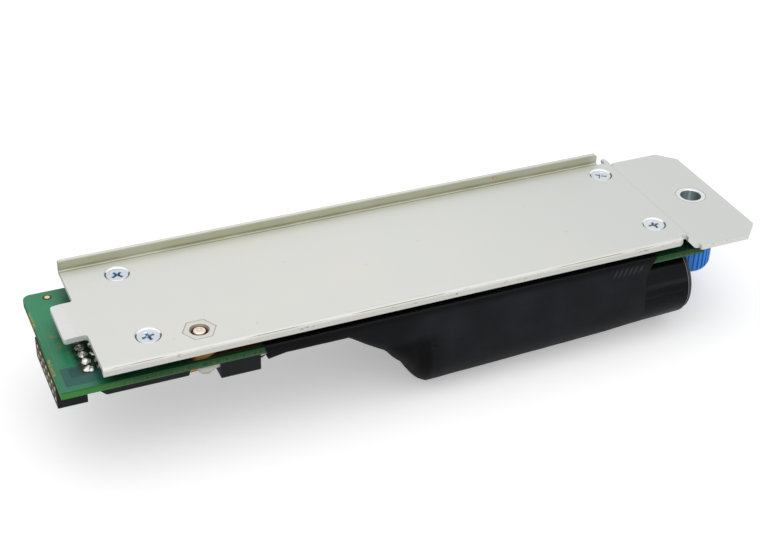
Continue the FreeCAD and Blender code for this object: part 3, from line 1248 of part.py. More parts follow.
def section(piece, x, depth, corner, spread, wall):
    """Draws one section of the sleeve.

    depth is how far it hangs under the board, corner its lower corner radius and spread, from 0 at
    the board to 1 at the cells, how far its sides lean out.
    """
    sketch = piece.sketch("YZ_Plane", x)
    top = f"(place.board_top + dim.film_slack + {wall})"
    low = f"(place.board_bottom - {depth} - {wall})"
    shoulder = f"({low} + {corner} + dim.side_crease * ({top} - {low} - {corner}))"
    round_top = f"(dim.film_corner - dim.film_wall + {wall})"
    sides = []
    for sign, edge, axis in (
            ("-", "place.board_near", "place.cell_near"),
            ("+", "place.board_far", "place.cell_far")):
        at_board = f"({edge} {sign} dim.film_slack {sign} {wall})"
        at_cell = f"({axis} {sign} dim.wrap_radius {sign} dim.film_slack {sign} {wall})"
        lean_out = f"({at_board} + ({at_cell} - {at_board}) * {spread})"
        sides.append((at_board, lean_out))
    (near_top, near_low), (far_top, far_low) = sides
    draw_rounded(sketch, (
        (near_top, top, round_top),
        (near_low, shoulder, "0"),
        (near_low, low, corner),
        (far_low, low, corner),
        (far_low, shoulder, "0"),
        (far_top, top, round_top),
    ))
    return sketch


def make_shrink_sleeve():
    piece = Piece("shrink_sleeve")
    full_depth = "(dim.cell_gap_left + 2 * dim.wrap_radius + dim.film_slack)"
    fall = "tan(place.cell_tilt)"
    steps = 4
    for wall, remove in (("dim.film_wall", False), ("0", True)):
        grip_corner = f"(dim.wrap_radius + dim.film_slack + {wall})"
        slim_corner = f"(dim.neck_corner - dim.film_wall + {wall})"
        over = "dim.film_wall" if remove else "0"
        mouth = [section(piece, f"place.sleeve_left - {over}", "dim.mouth_depth", slim_corner, "0", wall),
                 section(piece, "place.neck_left", "dim.neck_depth", slim_corner, "0", wall)]
        piece.loft(mouth, remove)
        neck = [section(piece, "place.neck_left", "dim.neck_depth", slim_corner, "0", wall),
                section(piece, "place.neck_right", "dim.neck_depth", slim_corner, "0", wall)]
        piece.loft(neck, remove)
        flare = []
        for step in range(steps + 1):
            share = step / steps
            x = f"place.neck_right + dim.flare_length * {share}"
            drop = f"((1 - dim.flare_late) * {share} ^ dim.flare_power + dim.flare_late * {share} ^ 3)"
            depth = f"(dim.neck_depth + ({full_depth} - dim.neck_depth) * {drop})"
            corner = f"({slim_corner} + ({grip_corner} - {slim_corner}) * {share} ^ 1.5)"
            flare.append(section(piece, x, depth, corner, str(share), wall))
        piece.loft(flare, remove)
        run = "(place.sleeve_tip - place.flare_right)"
        end_depth = f"({full_depth} - {run} * {fall})"
        grip = [section(piece, "place.flare_right", full_depth, grip_corner, "1", wall),
                section(piece, f"place.sleeve_tip + {over}", f"({end_depth})", grip_corner, "1", wall)]
        piece.loft(grip, remove)
    cut_back = (
        ("place.sleeve_right", "-dim.grip_tip", "0"),
        ("place.sleeve_right", "place.board_bottom - dim.grip_slope", "dim.grip_round"),
        ("place.sleeve_tip", "place.board_bottom + dim.board_thickness / 2", "0"),
        ("place.sleeve_tip + dim.grip_tip", "place.board_bottom + dim.board_thickness / 2", "0"),
        ("place.sleeve_tip + dim.grip_tip", "-dim.grip_tip", "0"),
    )
    piece.cut("XZ_Plane", "-dim.plate_width", "2 * dim.plate_width", cut_back, rounded=True)
    return piece.body


def main():
    makers = (
        make_carrier_plate, make_plate_screws, make_board_spacers, make_hex_standoff, make_standoff_screw,
        make_captive_ferrule, make_captive_screw, make_captive_washer, make_captive_spring, make_thumb_knob,
        make_circuit_board, make_board_pads, make_connector_housing, make_connector_contacts,
        make_solder_joints, make_board_parts, make_insulating_tape, make_foam_strip, make_battery_plug,
        make_board_lead, make_battery_leads, make_cells, make_cell_straps, make_foam_pads, make_thermistor,
        make_shrink_sleeve,
    )
    nodes = []
    for maker in makers:
        made = maker()
        nodes.extend(made if isinstance(made, list) else [made])
    doc.recompute()
    failed = [item.Name for item in doc.Objects if "Invalid" in item.State or "Error" in item.State]
    for node in nodes:
        node.Label = node.Name
        if node.Shape.isNull() or not node.Shape.isValid():
            failed.append(node.Label)
    if failed:
        raise RuntimeError(f"not built: {failed}")
    os.makedirs("parts", exist_ok=True)
    for node in nodes:
        node.Shape.exportStep(f"parts/{node.Label}.step")
        box = node.Shape.BoundBox
        print(f"{node.Label:20s} solids {len(node.Shape.Solids):2d}  x {box.XMin:8.2f} {box.XMax:8.2f}"
              f"  y {box.YMin:7.2f} {box.YMax:7.2f}  z {box.ZMin:6.2f} {box.ZMax:6.2f}")


main()
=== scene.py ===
import math

import bpy
from mathutils import Matrix, Vector


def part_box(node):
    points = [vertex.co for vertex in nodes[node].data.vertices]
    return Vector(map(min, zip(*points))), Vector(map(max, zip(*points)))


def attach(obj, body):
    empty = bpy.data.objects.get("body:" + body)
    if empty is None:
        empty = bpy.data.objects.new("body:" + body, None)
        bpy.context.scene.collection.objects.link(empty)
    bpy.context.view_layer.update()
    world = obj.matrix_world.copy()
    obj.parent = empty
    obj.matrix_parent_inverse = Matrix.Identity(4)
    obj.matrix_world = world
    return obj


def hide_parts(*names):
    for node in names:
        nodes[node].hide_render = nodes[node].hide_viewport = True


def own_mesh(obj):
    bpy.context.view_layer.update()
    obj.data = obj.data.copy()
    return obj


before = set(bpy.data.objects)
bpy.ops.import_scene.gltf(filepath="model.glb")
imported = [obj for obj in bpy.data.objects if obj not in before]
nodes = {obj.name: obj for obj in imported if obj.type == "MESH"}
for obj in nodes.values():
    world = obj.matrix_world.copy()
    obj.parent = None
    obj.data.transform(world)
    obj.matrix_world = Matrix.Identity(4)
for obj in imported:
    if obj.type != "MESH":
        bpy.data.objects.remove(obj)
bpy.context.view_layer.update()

scene = bpy.context.scene
scene.view_settings.view_transform = "Standard"
mm = 0.001
boardLow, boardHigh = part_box("circuit_board")
print("frame loaded:", len(nodes), "nodes")

# The camera stands where the photograph was taken from.
cameraView = {
    "place": (-119.59, -254.11, 206.28),
    "right": (0.9186, -0.3945, 0.0236),
    "up": (0.1996, 0.5147, 0.8339),
    "back": (-0.3410, -0.7613, 0.5515),
    "lens": 71.57,
}


def makeCamera():
    lens = bpy.data.cameras.new("viewCamera")
    lens.lens = cameraView["lens"]
    lens.sensor_width = 36
    lens.clip_start = 0.01
    lens.clip_end = 20
    camera = bpy.data.objects.new("viewCamera", lens)
    scene.collection.objects.link(camera)
    turn = Matrix((cameraView["right"], cameraView["up"], cameraView["back"])).transposed()
    camera.matrix_world = turn.to_4x4()
    camera.location = Vector(cameraView["place"]) * mm
    scene.camera = camera


makeCamera()

# Short calls for node trees: a chain of nodes is written as one expression, in the tree that was opened last.
opened = {}


def openTree(tree, end=None):
    # The end is the node that feed() links into.
    opened["tree"], opened["end"] = tree, tree.nodes[end] if end else None
    return tree


def add(kind, settings=None, **inputs):
    made = opened["tree"].nodes.new("ShaderNode" + kind)
    for key, value in (settings or {}).items():
        setattr(made, key, value)
    for key, value in inputs.items():
        socket = made.inputs[int(key[1:])] if key[1:].isdigit() else made.inputs[key.replace("_", " ")]
        if isinstance(value, bpy.types.NodeSocket):
            opened["tree"].links.new(value, socket)
        else:
            socket.default_value = (*value, 1) if socket.type == "RGBA" else value
    return made


def maths(operation, a, b=0.0, clamp=False):
    return add("Math", {"operation": operation, "use_clamp": clamp}, i0=a, i1=b).outputs[0]


def times(value, *others):
    for other in others:
        value = maths("MULTIPLY", value, other)
    return value


def plus(value, *others):
    for other in others:
        value = maths("ADD", value, other)
    return value


def minus(a, b):
    return maths("SUBTRACT", a, b)


def most(value, *others):
    for other in others:
        value = maths("MAXIMUM", value, other)
    return value


def paint(under, over, mask, strength=None):
    # Lays one colour over another, as far as the mask and the strength say.
    share = mask if strength is None else times(mask, strength)
    return add("Mix", {"data_type": "RGBA", "clamp_factor": True}, i0=share, i6=under, i7=over).outputs[2]


def ramp(value, low, high, start=0.0, end=1.0):
    return add("MapRange", {"interpolation_type": "SMOOTHSTEP", "clamp": True},
               Value=value, i1=low, i2=high, i3=start, i4=end).outputs[0]


def objectPoint(scale=(1, 1, 1), turn=(0, 0, 0)):
    return add("Mapping", Vector=add("TexCoord").outputs["Object"], Scale=scale, Rotation=turn).outputs[0]


def noise(stretch, scale, detail=3.0, rough=0.6, turn=(0, 0, 0)):
    point = objectPoint(stretch, turn)
    return add("TexNoise", Vector=point, Scale=scale, Detail=detail, Roughness=rough).outputs[0]


def newMaterial(name, colour, rough, metal=0.0, **plain):
    material = bpy.data.materials.new(name)
    material.use_nodes = True
    openTree(material.node_tree, "Principled BSDF")
    plain.update(Base_Color=(*colour, 1), Roughness=rough, Metallic=metal)
    for key, value in plain.items():
        opened["end"].inputs[key.replace("_", " ")].default_value = value
    return material


def feed(**sockets):
    for key, socket in sockets.items():
        opened["tree"].links.new(socket, opened["end"].inputs[key.replace("_", " ")])


def addBump(height, strength, distance):
    feed(Normal=add("Bump", Height=height, Strength=strength, Distance=distance).outputs[0])


# Effects that several materials share, as node groups.


def newGroup(name, inputs, outputs):
    group = openTree(bpy.data.node_groups.new(name, "ShaderNodeTree"))
    for socketName, value in inputs:
        socket = group.interface.new_socket(name=socketName, in_out="INPUT", socket_type="NodeSocketFloat")
        socket.default_value = value
    for socketName in outputs:
        group.interface.new_socket(name=socketName, in_out="OUTPUT", socket_type="NodeSocketFloat")
    return group, group.nodes.new("NodeGroupInput").outputs, group.nodes.new("NodeGroupOutput").inputs


def useGroup(group, **values):
    return add("Group", {"node_tree": group}, **values).outputs


def makeMottleGroup():
    # Clouds and a fine grain, both round 0.5.
    group, given, out = newGroup("mottle", (("Clouds", 40.0), ("Grain", 2500.0)), ("Cloud", "Fine"))
    group.links.new(noise((1, 1, 1), given[0], 4.0), out[0])
    group.links.new(noise((1, 1, 1), given[1], 2.0, 0.7), out[1])
    return group


def makeScratchGroup():
    # Sparse thin lines in two directions, and a few pits.
    group, given, out = newGroup("scratches", (("Lines", 60.0), ("Pits", 300.0)), ("Line", "Pit"))
    lines = []
    for angle, stretch in ((0.35, 0.05), (1.9, 0.07)):
        specks = noise((1, stretch, 1), given[0], 5.0, 0.75, (0, 0, angle))
        lines.append(ramp(specks, 0.685, 0.72))
    cells = add("TexVoronoi", Vector=objectPoint(), Scale=given[1], Randomness=1.0)
    near = ramp(cells.outputs["Distance"], 0.10, 0.04)
    rare = ramp(add("SeparateColor", Color=cells.outputs["Color"]).outputs[0], 0.86, 0.88)
    group.links.new(most(*lines), out[0])
    group.links.new(times(near, rare), out[1])
    return group


def makeBandGroup():
    # A soft box: 1 between low and high, and 0 outside them.
    group, given, out = newGroup("band", (("Value", 0.0), ("Low", 0.0), ("High", 1.0), ("Soft", 0.0002)), ("Inside",))
    rise = maths("DIVIDE", minus(given[0], given[1]), given[3], True)
    fall = maths("DIVIDE", minus(given[2], given[0]), given[3], True)
    group.links.new(times(rise, fall), out[0])
    return group


mottle = makeMottleGroup()
scratches = makeScratchGroup()
band = makeBandGroup()


def mottled(clouds, grain):
    return useGroup(mottle, Clouds=clouds, Grain=grain)


def inside(value, low, high, soft=0.0002):
    return useGroup(band, Value=value, Low=low, High=high, Soft=soft)[0]


def splitPoint():
    return add("SeparateXYZ", Vector=add("TexCoord").outputs["Object"]).outputs


def facing():
    return add("SeparateXYZ", Vector=add("NewGeometry").outputs["Normal"]).outputs


def distanceTo(x, y, centre):
    across, along = minus(x, centre[0]), minus(y, centre[1])
    return maths("SQRT", plus(times(across, across), times(along, along)))


def scaled(colour, factor):
    return [min(1.0, channel * factor) for channel in colour]


# Modelling calls.
meshOps = bpy.ops.mesh


def deselect():
    bpy.ops.object.select_all(action="DESELECT")


def mode(name):
    bpy.ops.object.mode_set(mode=name)


def activate(piece):
    deselect()
    piece.select_set(True)
    bpy.context.view_layer.objects.active = piece


def modify(piece, kind, **settings):
    # Adds one modifier and applies it.
    modifier = piece.modifiers.new(kind.lower(), kind)
    for key, value in settings.items():
        setattr(modifier, key, value)
    activate(piece)
    bpy.ops.object.modifier_apply(modifier=modifier.name)


def editAll():
    mode("EDIT")
    meshOps.select_all(action="SELECT")


def copyNode(nodeName, pieceName):
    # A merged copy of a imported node, with its flat faces joined again.
    piece = bpy.data.objects.new(pieceName, nodes[nodeName].data.copy())
    scene.collection.objects.link(piece)
    activate(piece)
    if piece.data.has_custom_normals:
        meshOps.customdata_custom_splitnormals_clear()
    editAll()
    meshOps.remove_doubles(threshold=0.000002)
    meshOps.dissolve_limited(angle_limit=math.radians(0.5))
    mode("OBJECT")
    return piece


def roundEdges(piece, width, angle=35, segments=2):
    modify(piece, "BEVEL", width=width, segments=segments, limit_method="ANGLE", angle_limit=math.radians(angle),
           use_clamp_overlap=True)


def smooth(piece, angle=40, even=False):
    activate(piece)
    bpy.ops.object.shade_smooth_by_angle(angle=math.radians(angle))
    if even:
        # Large flat faces keep their own normal, and only the rounded edges blend.
        modify(piece, "WEIGHTED_NORMAL", weight=100, keep_sharp=True)


def pickFaces(piece, test):
    # Enters edit mode with the faces selected whose centre and normal pass the test.
    activate(piece)
    mode("EDIT")
    meshOps.select_mode(type="FACE")
    meshOps.select_all(action="DESELECT")
    mode("OBJECT")
    for face in piece.data.polygons:
        face.select = test(face.center, face.normal)
    mode("EDIT")


def joinPieces(pieces, name):
    deselect()
    for piece in pieces:
        piece.select_set(True)
    bpy.context.view_layer.objects.active = pieces[0]
    bpy.ops.object.join()
    pieces[0].name = name
    return pieces[0]


def settle(piece):
    activate(piece)
    bpy.ops.object.transform_apply(location=True, rotation=True, scale=True)


def dress(piece, material, *stands, body="module", slot=None):
    piece.data.materials.clear()
    piece.data.materials.append(material)
    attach(piece, body)
    if stands:
        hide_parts(*stands)


def soften(nodeName, pieceName, width, material, slot, body="module", angle=35, segments=2):
    # Stands for a node with its sharp edges rounded.
    piece = copyNode(nodeName, pieceName)
    roundEdges(piece, width * mm, angle, segments)
    smooth(piece, 34, True)
    dress(piece, material, nodeName, body=body, slot=slot)
    return piece


def wear(material, *names):
    for name in names:
        nodes[name].data.materials.clear()
        nodes[name].data.materials.append(material)


# Zinc plated steel: the folded carrier and its small hardware.
steel = {
    "colour": (0.680, 0.688, 0.658), "warm": (0.697, 0.694, 0.648), "turned": (0.97, 0.99, 1.03),
    "metal": 0.35, "rough": 0.50,
    "dark": (0.30, 0.28, 0.24), "stain": (0.22, 0.16, 0.10), "red": (0.62, 0.12, 0.08),
    "olive": (0.435, 0.445, 0.325), "foot": (0.25, 0.235, 0.13), "shade": (0.585, 0.600, 0.585),
    "edge": (0.93, 0.93, 0.885), "lip": (0.80, 0.80, 0.75), "tip": (0.74, 0.745, 0.76),
    "gap": (0.045, 0.045, 0.045), "gleam": (0.95, 0.95, 0.92),
}


def steelTones(colour, warm):
    tones = mottled(55.0, 3800.0)
    marks = useGroup(scratches, Lines=140.0, Pits=230.0)
    tone = paint(colour, warm, ramp(tones[0], 0.36, 0.66))
    return paint(tone, steel["dark"], marks[1], 0.20), tones, marks


def finishSteel(tone, tones, marks, rough):
    feed(Base_Color=tone, Roughness=plus(times(tones[0], 0.16), rough - 0.08, times(marks[0], 0.05)))
    addBump(plus(tones[1], times(marks[0], -0.6)), 0.10, 0.00003)


def makeTurnedSteel():
    colour, warm = ([a * b for a, b in zip(steel[name], steel["turned"])] for name in ("colour", "warm"))
    material = newMaterial("turnedSteel", colour, 0.34, 0.8)
    finishSteel(*steelTones(colour, warm), 0.34)
    return material


# Flat head screws: a shallow dished head with a tapered cross recess.
screwHead = {
    "top": 26.95, "radius": 2.40, "neck": 1.5, "depth": 5.15, "cone": 0.9, "rim": 0.08, "crown": 0.06,
    "wing": 1.66, "wingWidth": 0.36, "recess": 1.3, "above": 0.25, "turns": (12, 34, 3, 50),
    "tip": 0.12, "mouth": 0.81, "pit": 2.8, "sink": 0.6,
    "spots": ((-61.4, -11.3), (-61.4, 12.7), (57.2, -11.3), (57.2, 12.7)),
    "colour": (0.65, 0.70, 0.75), "blue": (0.022, 0.17, 0.34), "brown": (0.20, 0.225, 0.21),
}


def makePlateSteel():
    material = newMaterial("plateSteel", steel["colour"], steel["rough"], steel["metal"])
    tone, tones, marks = steelTones(steel["colour"], steel["warm"])
    x, y, z = splitPoint()
    sideways = facing()[1]
    nearFace = ramp(sideways, -0.55, -0.9)
    beforeStep, beforeTab = ramp(x, 0.0600, 0.0560), ramp(x, 0.0600, 0.0590)
    fleck = noise((1, 1, 2.2), 480.0)
    drift = noise((0.25, 1, 1), 260.0)
    # The sheet is painted greyer towards the tab, a painted shade where the light falls off, and a painted shadow
    # darkens the foot of the step.
    tone = paint(tone, steel["shade"], ramp(x, -0.01, 0.075, 0.0, 0.85))
    step = inside(x, 0.0622, 0.0646, 0.0008)
    tone = paint(tone, scaled(steel["shade"], 0.8), step, 0.35)
    # The inside of the far flange keeps its yellowish passivation, which fades out on the sheet beside it.
    lower = most(ramp(z, 0.02938, 0.02925), ramp(y, 0.01845, 0.01815))
    flange = times(ramp(y, 0.0168, 0.0173), lower)
    beside = times(ramp(y, 0.0142, 0.0180, 0.0, 0.55), ramp(z, 0.02935, 0.02905))
    flange = times(most(flange, beside), beforeStep, ramp(drift, 0.2, 0.6, 0.82, 1.0))
    tone = paint(tone, steel["olive"], flange)
    # A painted shade darkens the foot of the far flange, in its corner with the sheet.
    foot = times(ramp(y, 0.0172, 0.0175), ramp(z, 0.0281, 0.0276), ramp(drift, 0.35, 0.6, 0.30, 0.80), beforeStep)
    tone = paint(tone, steel["foot"], foot)
    # The near lip's face is painted paler, a painted highlight, and its bend greyer, a painted shade that tones down
    # the bend's highlight; the lip also has a thin tarnished line and flecks.
    lip = times(ramp(y, -0.0180, -0.0185), beforeTab)
    tone = paint(tone, steel["lip"], times(lip, nearFace))
    bend = times(inside(sideways, -0.75, -0.05, 0.2), beforeTab)
    tone = paint(tone, scaled(steel["shade"], 0.92), bend, 0.75)
    line = times(inside(z, 0.02662, 0.02688, 0.00010), lip, ramp(drift, 0.42, 0.56, 0.15, 0.80))
    tone = paint(tone, steel["stain"], line)
    # The cut edge of the tab is painted paler, a painted highlight, and has a few rubbed flecks of its own.
    edge = times(ramp(x, 0.0600, 0.0612), ramp(sideways, -0.35, -0.7))
    tone = paint(tone, steel["edge"], edge)
    spots = times(ramp(fleck, 0.60, 0.70), nearFace, most(edge, inside(z, 0.0257, 0.0268, 0.0003)))
    tone = paint(tone, steel["stain"], spots, 0.45)
    # The tongue's tip is painted paler in patches, a painted highlight where it bends down.
    tip = times(ramp(x, -0.0745, -0.0752), ramp(fleck, 0.3, 0.6, 0.35, 1.0))
    tone = paint(tone, steel["tip"], tip, 0.45)
    # A painted shadow darkens the clearance round each screw's near side, and a painted highlight brightens the cut
    # beyond its far side.
    for spot in screwHead["spots"]:
        away = distanceTo(x, y, (spot[0] * mm, spot[1] * mm))
        gap = times(ramp(away, 0.00275, 0.00262), ramp(z, 0.02718, 0.02710))
        middle = 0.30 * spot[0] + spot[1]
        far = ramp(plus(times(x, 0.30), y), (middle + 0.5) * mm, (middle + 1.3) * mm)
        tone = paint(tone, paint(steel["gap"], steel["gleam"], far), gap, 0.9)
    # Specks of marking paint, and a few dark ones on the sheet.
    for centre, radius in (((0.03075, 0.02884), 0.0004), ((0.0316, 0.0288), 0.0003), ((0.00371, 0.026), 0.00036)):
        speck = times(ramp(distanceTo(x, z, centre), radius, radius * 0.4), nearFace)
        tone = paint(tone, steel["red"], speck, 0.7)
    for centre, radius in (((0.03663, -0.00711), 0.0004), ((0.0330, 0.0060), 0.0003), ((-0.0105, -0.0032), 0.00035)):
        speck = ramp(distanceTo(x, y, centre), radius, radius * 0.3)
        tone = paint(tone, steel["dark"], speck, 0.28)
    finishSteel(tone, tones, marks, steel["rough"])
    return material


def makeCarrier():
    plate = copyNode("carrier_plate", "carrierPlateSkin")
    roundEdges(plate, 0.00014, 38)
    smooth(plate, 32, True)
    dress(plate, makePlateSteel(), "carrier_plate", slot="zinc_steel")


makeCarrier()
print("carrier plate modelled")


def makeScrew(x, y, turn):
    top = screwHead["top"] * mm
    rise = (screwHead["cone"] + screwHead["rim"] + screwHead["crown"]) * mm
    depth = screwHead["depth"] * mm
    deselect()
    meshOps.primitive_cylinder_add(vertices=64, radius=screwHead["neck"] * mm, depth=depth,
                                   location=(x, y, top - rise - depth / 2 + screwHead["cone"] * mm),
                                   end_fill_type="NGON")
    screw = bpy.context.object
    settle(screw)
    highest = max(vertex.co.z for vertex in screw.data.vertices)
    pickFaces(screw, lambda centre, normal: normal.z > 0.9)
    bpy.ops.transform.translate(value=(0, 0, top - rise - highest))
    # From the neck the cone widens to the rim, and the face is dished a little.
    wide = screwHead["radius"] / screwHead["neck"]
    meshOps.extrude_region_move(TRANSFORM_OT_translate={"value": (0, 0, screwHead["cone"] * mm)})
    bpy.ops.transform.resize(value=(wide, wide, 1), center_override=(x, y, top))
    meshOps.extrude_region_move(TRANSFORM_OT_translate={"value": (0, 0, screwHead["rim"] * mm)})
    for thickness, lift in ((0.08, screwHead["crown"]), (0.45, 0.0), (0.5, -0.05)):
        meshOps.inset(thickness=thickness * mm, depth=lift * mm)
    mode("OBJECT")
    for wing in range(3):
        deselect()
        if wing < 2:
            spin = math.radians(turn + 90 * wing)
            meshOps.primitive_cube_add(size=2, location=(x, y, top), rotation=(0, 0, spin))
            cutter = bpy.context.object
            cutter.scale = (screwHead["wing"] * mm, screwHead["wingWidth"] * mm, screwHead["recess"] * mm)
            for vertex in cutter.data.vertices:
                if vertex.co.z < 0:
                    vertex.co.x *= 0.30
                    vertex.co.y *= 0.55
                else:
                    vertex.co.z = screwHead["above"] / screwHead["recess"]
        else:
            meshOps.primitive_cone_add(
                vertices=24, radius1=screwHead["tip"] * mm, radius2=screwHead["mouth"] * mm,
                depth=screwHead["pit"] * mm, location=(x, y, top - screwHead["sink"] * mm))
            cutter = bpy.context.object
        settle(cutter)
        modify(screw, "BOOLEAN", operation="DIFFERENCE", solver="EXACT", object=cutter)
        bpy.data.objects.remove(cutter)
    return screw


def makeScrewZinc():
    colour = screwHead["colour"]
    material = newMaterial("screwZinc", colour, 0.30, 0.7)
    tone, tones, marks = steelTones(colour, scaled(colour, 0.95))
    x, _, z = splitPoint()
    # The recess is painted dark with a painted reflection: blue at the connector's end, brownish at the tab's end.
    lock = paint(screwHead["blue"], screwHead["brown"], ramp(x, -0.01, 0.01))
    patchy = noise((1, 0.45, 1), 1500.0, 2.0, 0.5)
    depth = times(ramp(z, 0.02684, 0.02668), ramp(patchy, 0.40, 0.54, 0.22, 1.0))
    tone = paint(tone, lock, depth)
    finishSteel(tone, tones, marks, 0.30)
    feed(Metallic=minus(0.7, times(depth, 0.55)))
    return material


def makeScrews():
    screws = [makeScrew(x * mm, y * mm, turn) for (x, y), turn in zip(screwHead["spots"], screwHead["turns"])]
    joined = joinPieces(screws, "plateScrewHeads")
    roundEdges(joined, 0.00004, 40, 1)
    smooth(joined, 30)
    dress(joined, makeScrewZinc(), "plate_screws", slot="zinc_steel")


makeScrews()
print("screws modelled")

# The swaged standoff with the end of its screw, and the captive screw's ferrule.
standoff = {"centre": (-0.0513, -0.0132), "flats": 6.4, "tint": (0.60, 0.55, 0.50), "mouth": (0.15, 0.085, 0.04),
            "screw": (0.78, 0.71, 0.60), "dimple": (0.33, 0.24, 0.15), "flank": (0.13, 0.07, 0.03)}
ferrule = {"centre": (0.0747, 0.0), "bore": 2.4, "colour": (0.74, 0.76, 0.76), "teal": (0.24, 0.36, 0.385),
           "dark": (0.07, 0.11, 0.125), "streak": (0.75, 0.80, 0.80), "groove": (0.16, 0.15, 0.13)}


def makeStandoffSteel():
    material = newMaterial("standoffSteel", steel["colour"], 0.40, 0.5)
    tone, tones, marks = steelTones(steel["colour"], steel["warm"])
    x, y, z = splitPoint()
    across = minus(x, standoff["centre"][0])
    along = minus(y, standoff["centre"][1])
    widest = maths("ABSOLUTE", along)
    for angle in (math.radians(30), math.radians(150)):
        turned = plus(times(across, math.cos(angle)), times(along, math.sin(angle)))
        widest = most(widest, maths("ABSOLUTE", turned))
    # The hexagon is a little warmer than the sheet. Grime sits in its seam, and the mouth of its bore is painted dark
    # brown.
    tone = paint(tone, standoff["tint"], 0.28)
    edge = standoff["flats"] / 2 * mm
    tone = paint(tone, steel["stain"], ramp(widest, edge - 0.00034, edge - 0.00006), 0.62)
    centre = distanceTo(x, y, standoff["centre"])
    mouth = times(ramp(centre, 0.00222, 0.00205), ramp(z, 0.02722, 0.02712))
    tone = paint(tone, standoff["mouth"], mouth, 0.85)
    finishSteel(tone, tones, marks, 0.40)
    return material


def makeStandoffScrewSteel():
    warm = standoff["screw"]
    material = newMaterial("standoffScrewSteel", warm, 0.30, 0.75)
    tone, tones, marks = steelTones(warm, scaled(warm, 1.12))
    x, y, _ = splitPoint()
    centre = distanceTo(x, y, standoff["centre"])
    tone = paint(tone, standoff["dimple"], inside(centre, 0.00035, 0.00075, 0.00012), 0.45)
    tone = paint(tone, standoff["flank"], ramp(centre, 0.00118, 0.00132), 0.85)
    finishSteel(tone, tones, marks, 0.30)
    return material


def makeFerruleSteel():
    colour = ferrule["colour"]
    material = newMaterial("ferruleSteel", colour, 0.26, 0.8)
    tone, tones, marks = steelTones(colour, scaled(colour, 0.95))
    x, y, _ = splitPoint()
    centre = distanceTo(x, y, ferrule["centre"])
    well = ramp(centre, ferrule["bore"] * mm + 0.00012, ferrule["bore"] * mm + 0.00002)
    # The bore is painted blue-green as a painted reflection, darker to its left and right as painted shade, with one
    # painted highlight down its far wall.
    across = plus(times(minus(x, ferrule["centre"][0]), 0.92), times(minus(y, ferrule["centre"][1]), -0.39))
    inner = paint(ferrule["teal"], ferrule["dark"], ramp(maths("ABSOLUTE", across), 0.0008, 0.0022))
    inner = paint(inner, ferrule["streak"], inside(across, 0.0000, 0.0007), 0.6)
    tone = paint(tone, inner, well, 0.85)
    feed(Metallic=minus(0.8, times(well, 0.5)))
    # A painted shadow darkens the ferrule's outer rim where it meets the sheet.
    tone = paint(tone, ferrule["groove"], ramp(centre, 0.00340, 0.00352), 0.7)
    finishSteel(tone, tones, marks, 0.26)
    return material


turnedSteel = makeTurnedSteel()
soften("hex_standoff", "hexStandoffBody", 0.09, makeStandoffSteel(), "zinc_steel")
soften("standoff_screw", "standoffScrewBody", 0.14, makeStandoffScrewSteel(), "zinc_steel", segments=3)
soften("captive_ferrule", "captiveFerruleBody", 0.10, makeFerruleSteel(), "zinc_steel")
soften("captive_screw", "captiveScrewBody", 0.08, turnedSteel, "zinc_steel", body="captive_fastener")
print("hardware modelled")

# The shrink film: one sheet wrapped round board and cells, with the folds that heat leaves.
film = {
    "left": -38.2, "slant": 0.9, "neckLeft": -34.6, "neckRight": -20.6, "flareRight": -1.2,
    "right": 51.4, "tip": 54.2,
    "top": 23.55, "boardBottom": 21.5, "boardNear": -18.85, "boardFar": 17.95, "cellNear": -19.9, "cellFar": 18.1,
    "mouthDepth": 2.35, "neckDepth": 1.36, "fullDepth": 21.3, "fall": 0.03078,
    "slimCorner": 2.3, "fullCorner": 9.7, "topCorner": 0.5, "softCorner": 0.8, "crease": 0.35,
    "stations": 340, "wall": 0.3,
    "counts": {"top": 10, "topCorner": 5, "upperSide": 30, "lowerSide": 14, "corner": 22, "bottom": 14},
    "ridges": (43.0, 44.3, 45.6, 46.9, 48.2, 49.5), "ridgeLean": 0.6,
    "flare": ((0, 0), (0.2, 0.16), (0.48, 0.36), (0.6, 0.515), (0.71, 0.62), (0.82, 0.80), (0.9, 0.91), (1, 1)),
}


def flareDrop(share):
    share = min(1.0, max(0.0, share))
    for (start, low), (end, high) in zip(film["flare"], film["flare"][1:]):
        if share <= end:
            return low + (high - low) * (share - start) / (end - start)


def filmShape(x):
    # Depth under the board, lower corner radius and how far the sides lean out, at a station.
    if x < film["neckLeft"]:
        share = (x - film["left"]) / (film["neckLeft"] - film["left"])
        return film["mouthDepth"] + (film["neckDepth"] - film["mouthDepth"]) * share, film["slimCorner"], 0.0
    if x < film["neckRight"]:
        return film["neckDepth"], film["slimCorner"], 0.0
    if x < film["flareRight"]:
        share = (x - film["neckRight"]) / (film["flareRight"] - film["neckRight"])
        drop = sum(flareDrop(share + shift) for shift in (-0.03, 0.0, 0.03)) / 3
        depth = film["neckDepth"] + (film["fullDepth"] - film["neckDepth"]) * drop
        return depth, film["slimCorner"] + (film["fullCorner"] - film["slimCorner"]) * share ** 1.5, share
    return film["fullDepth"] - (x - film["flareRight"]) * film["fall"], film["fullCorner"], 1.0


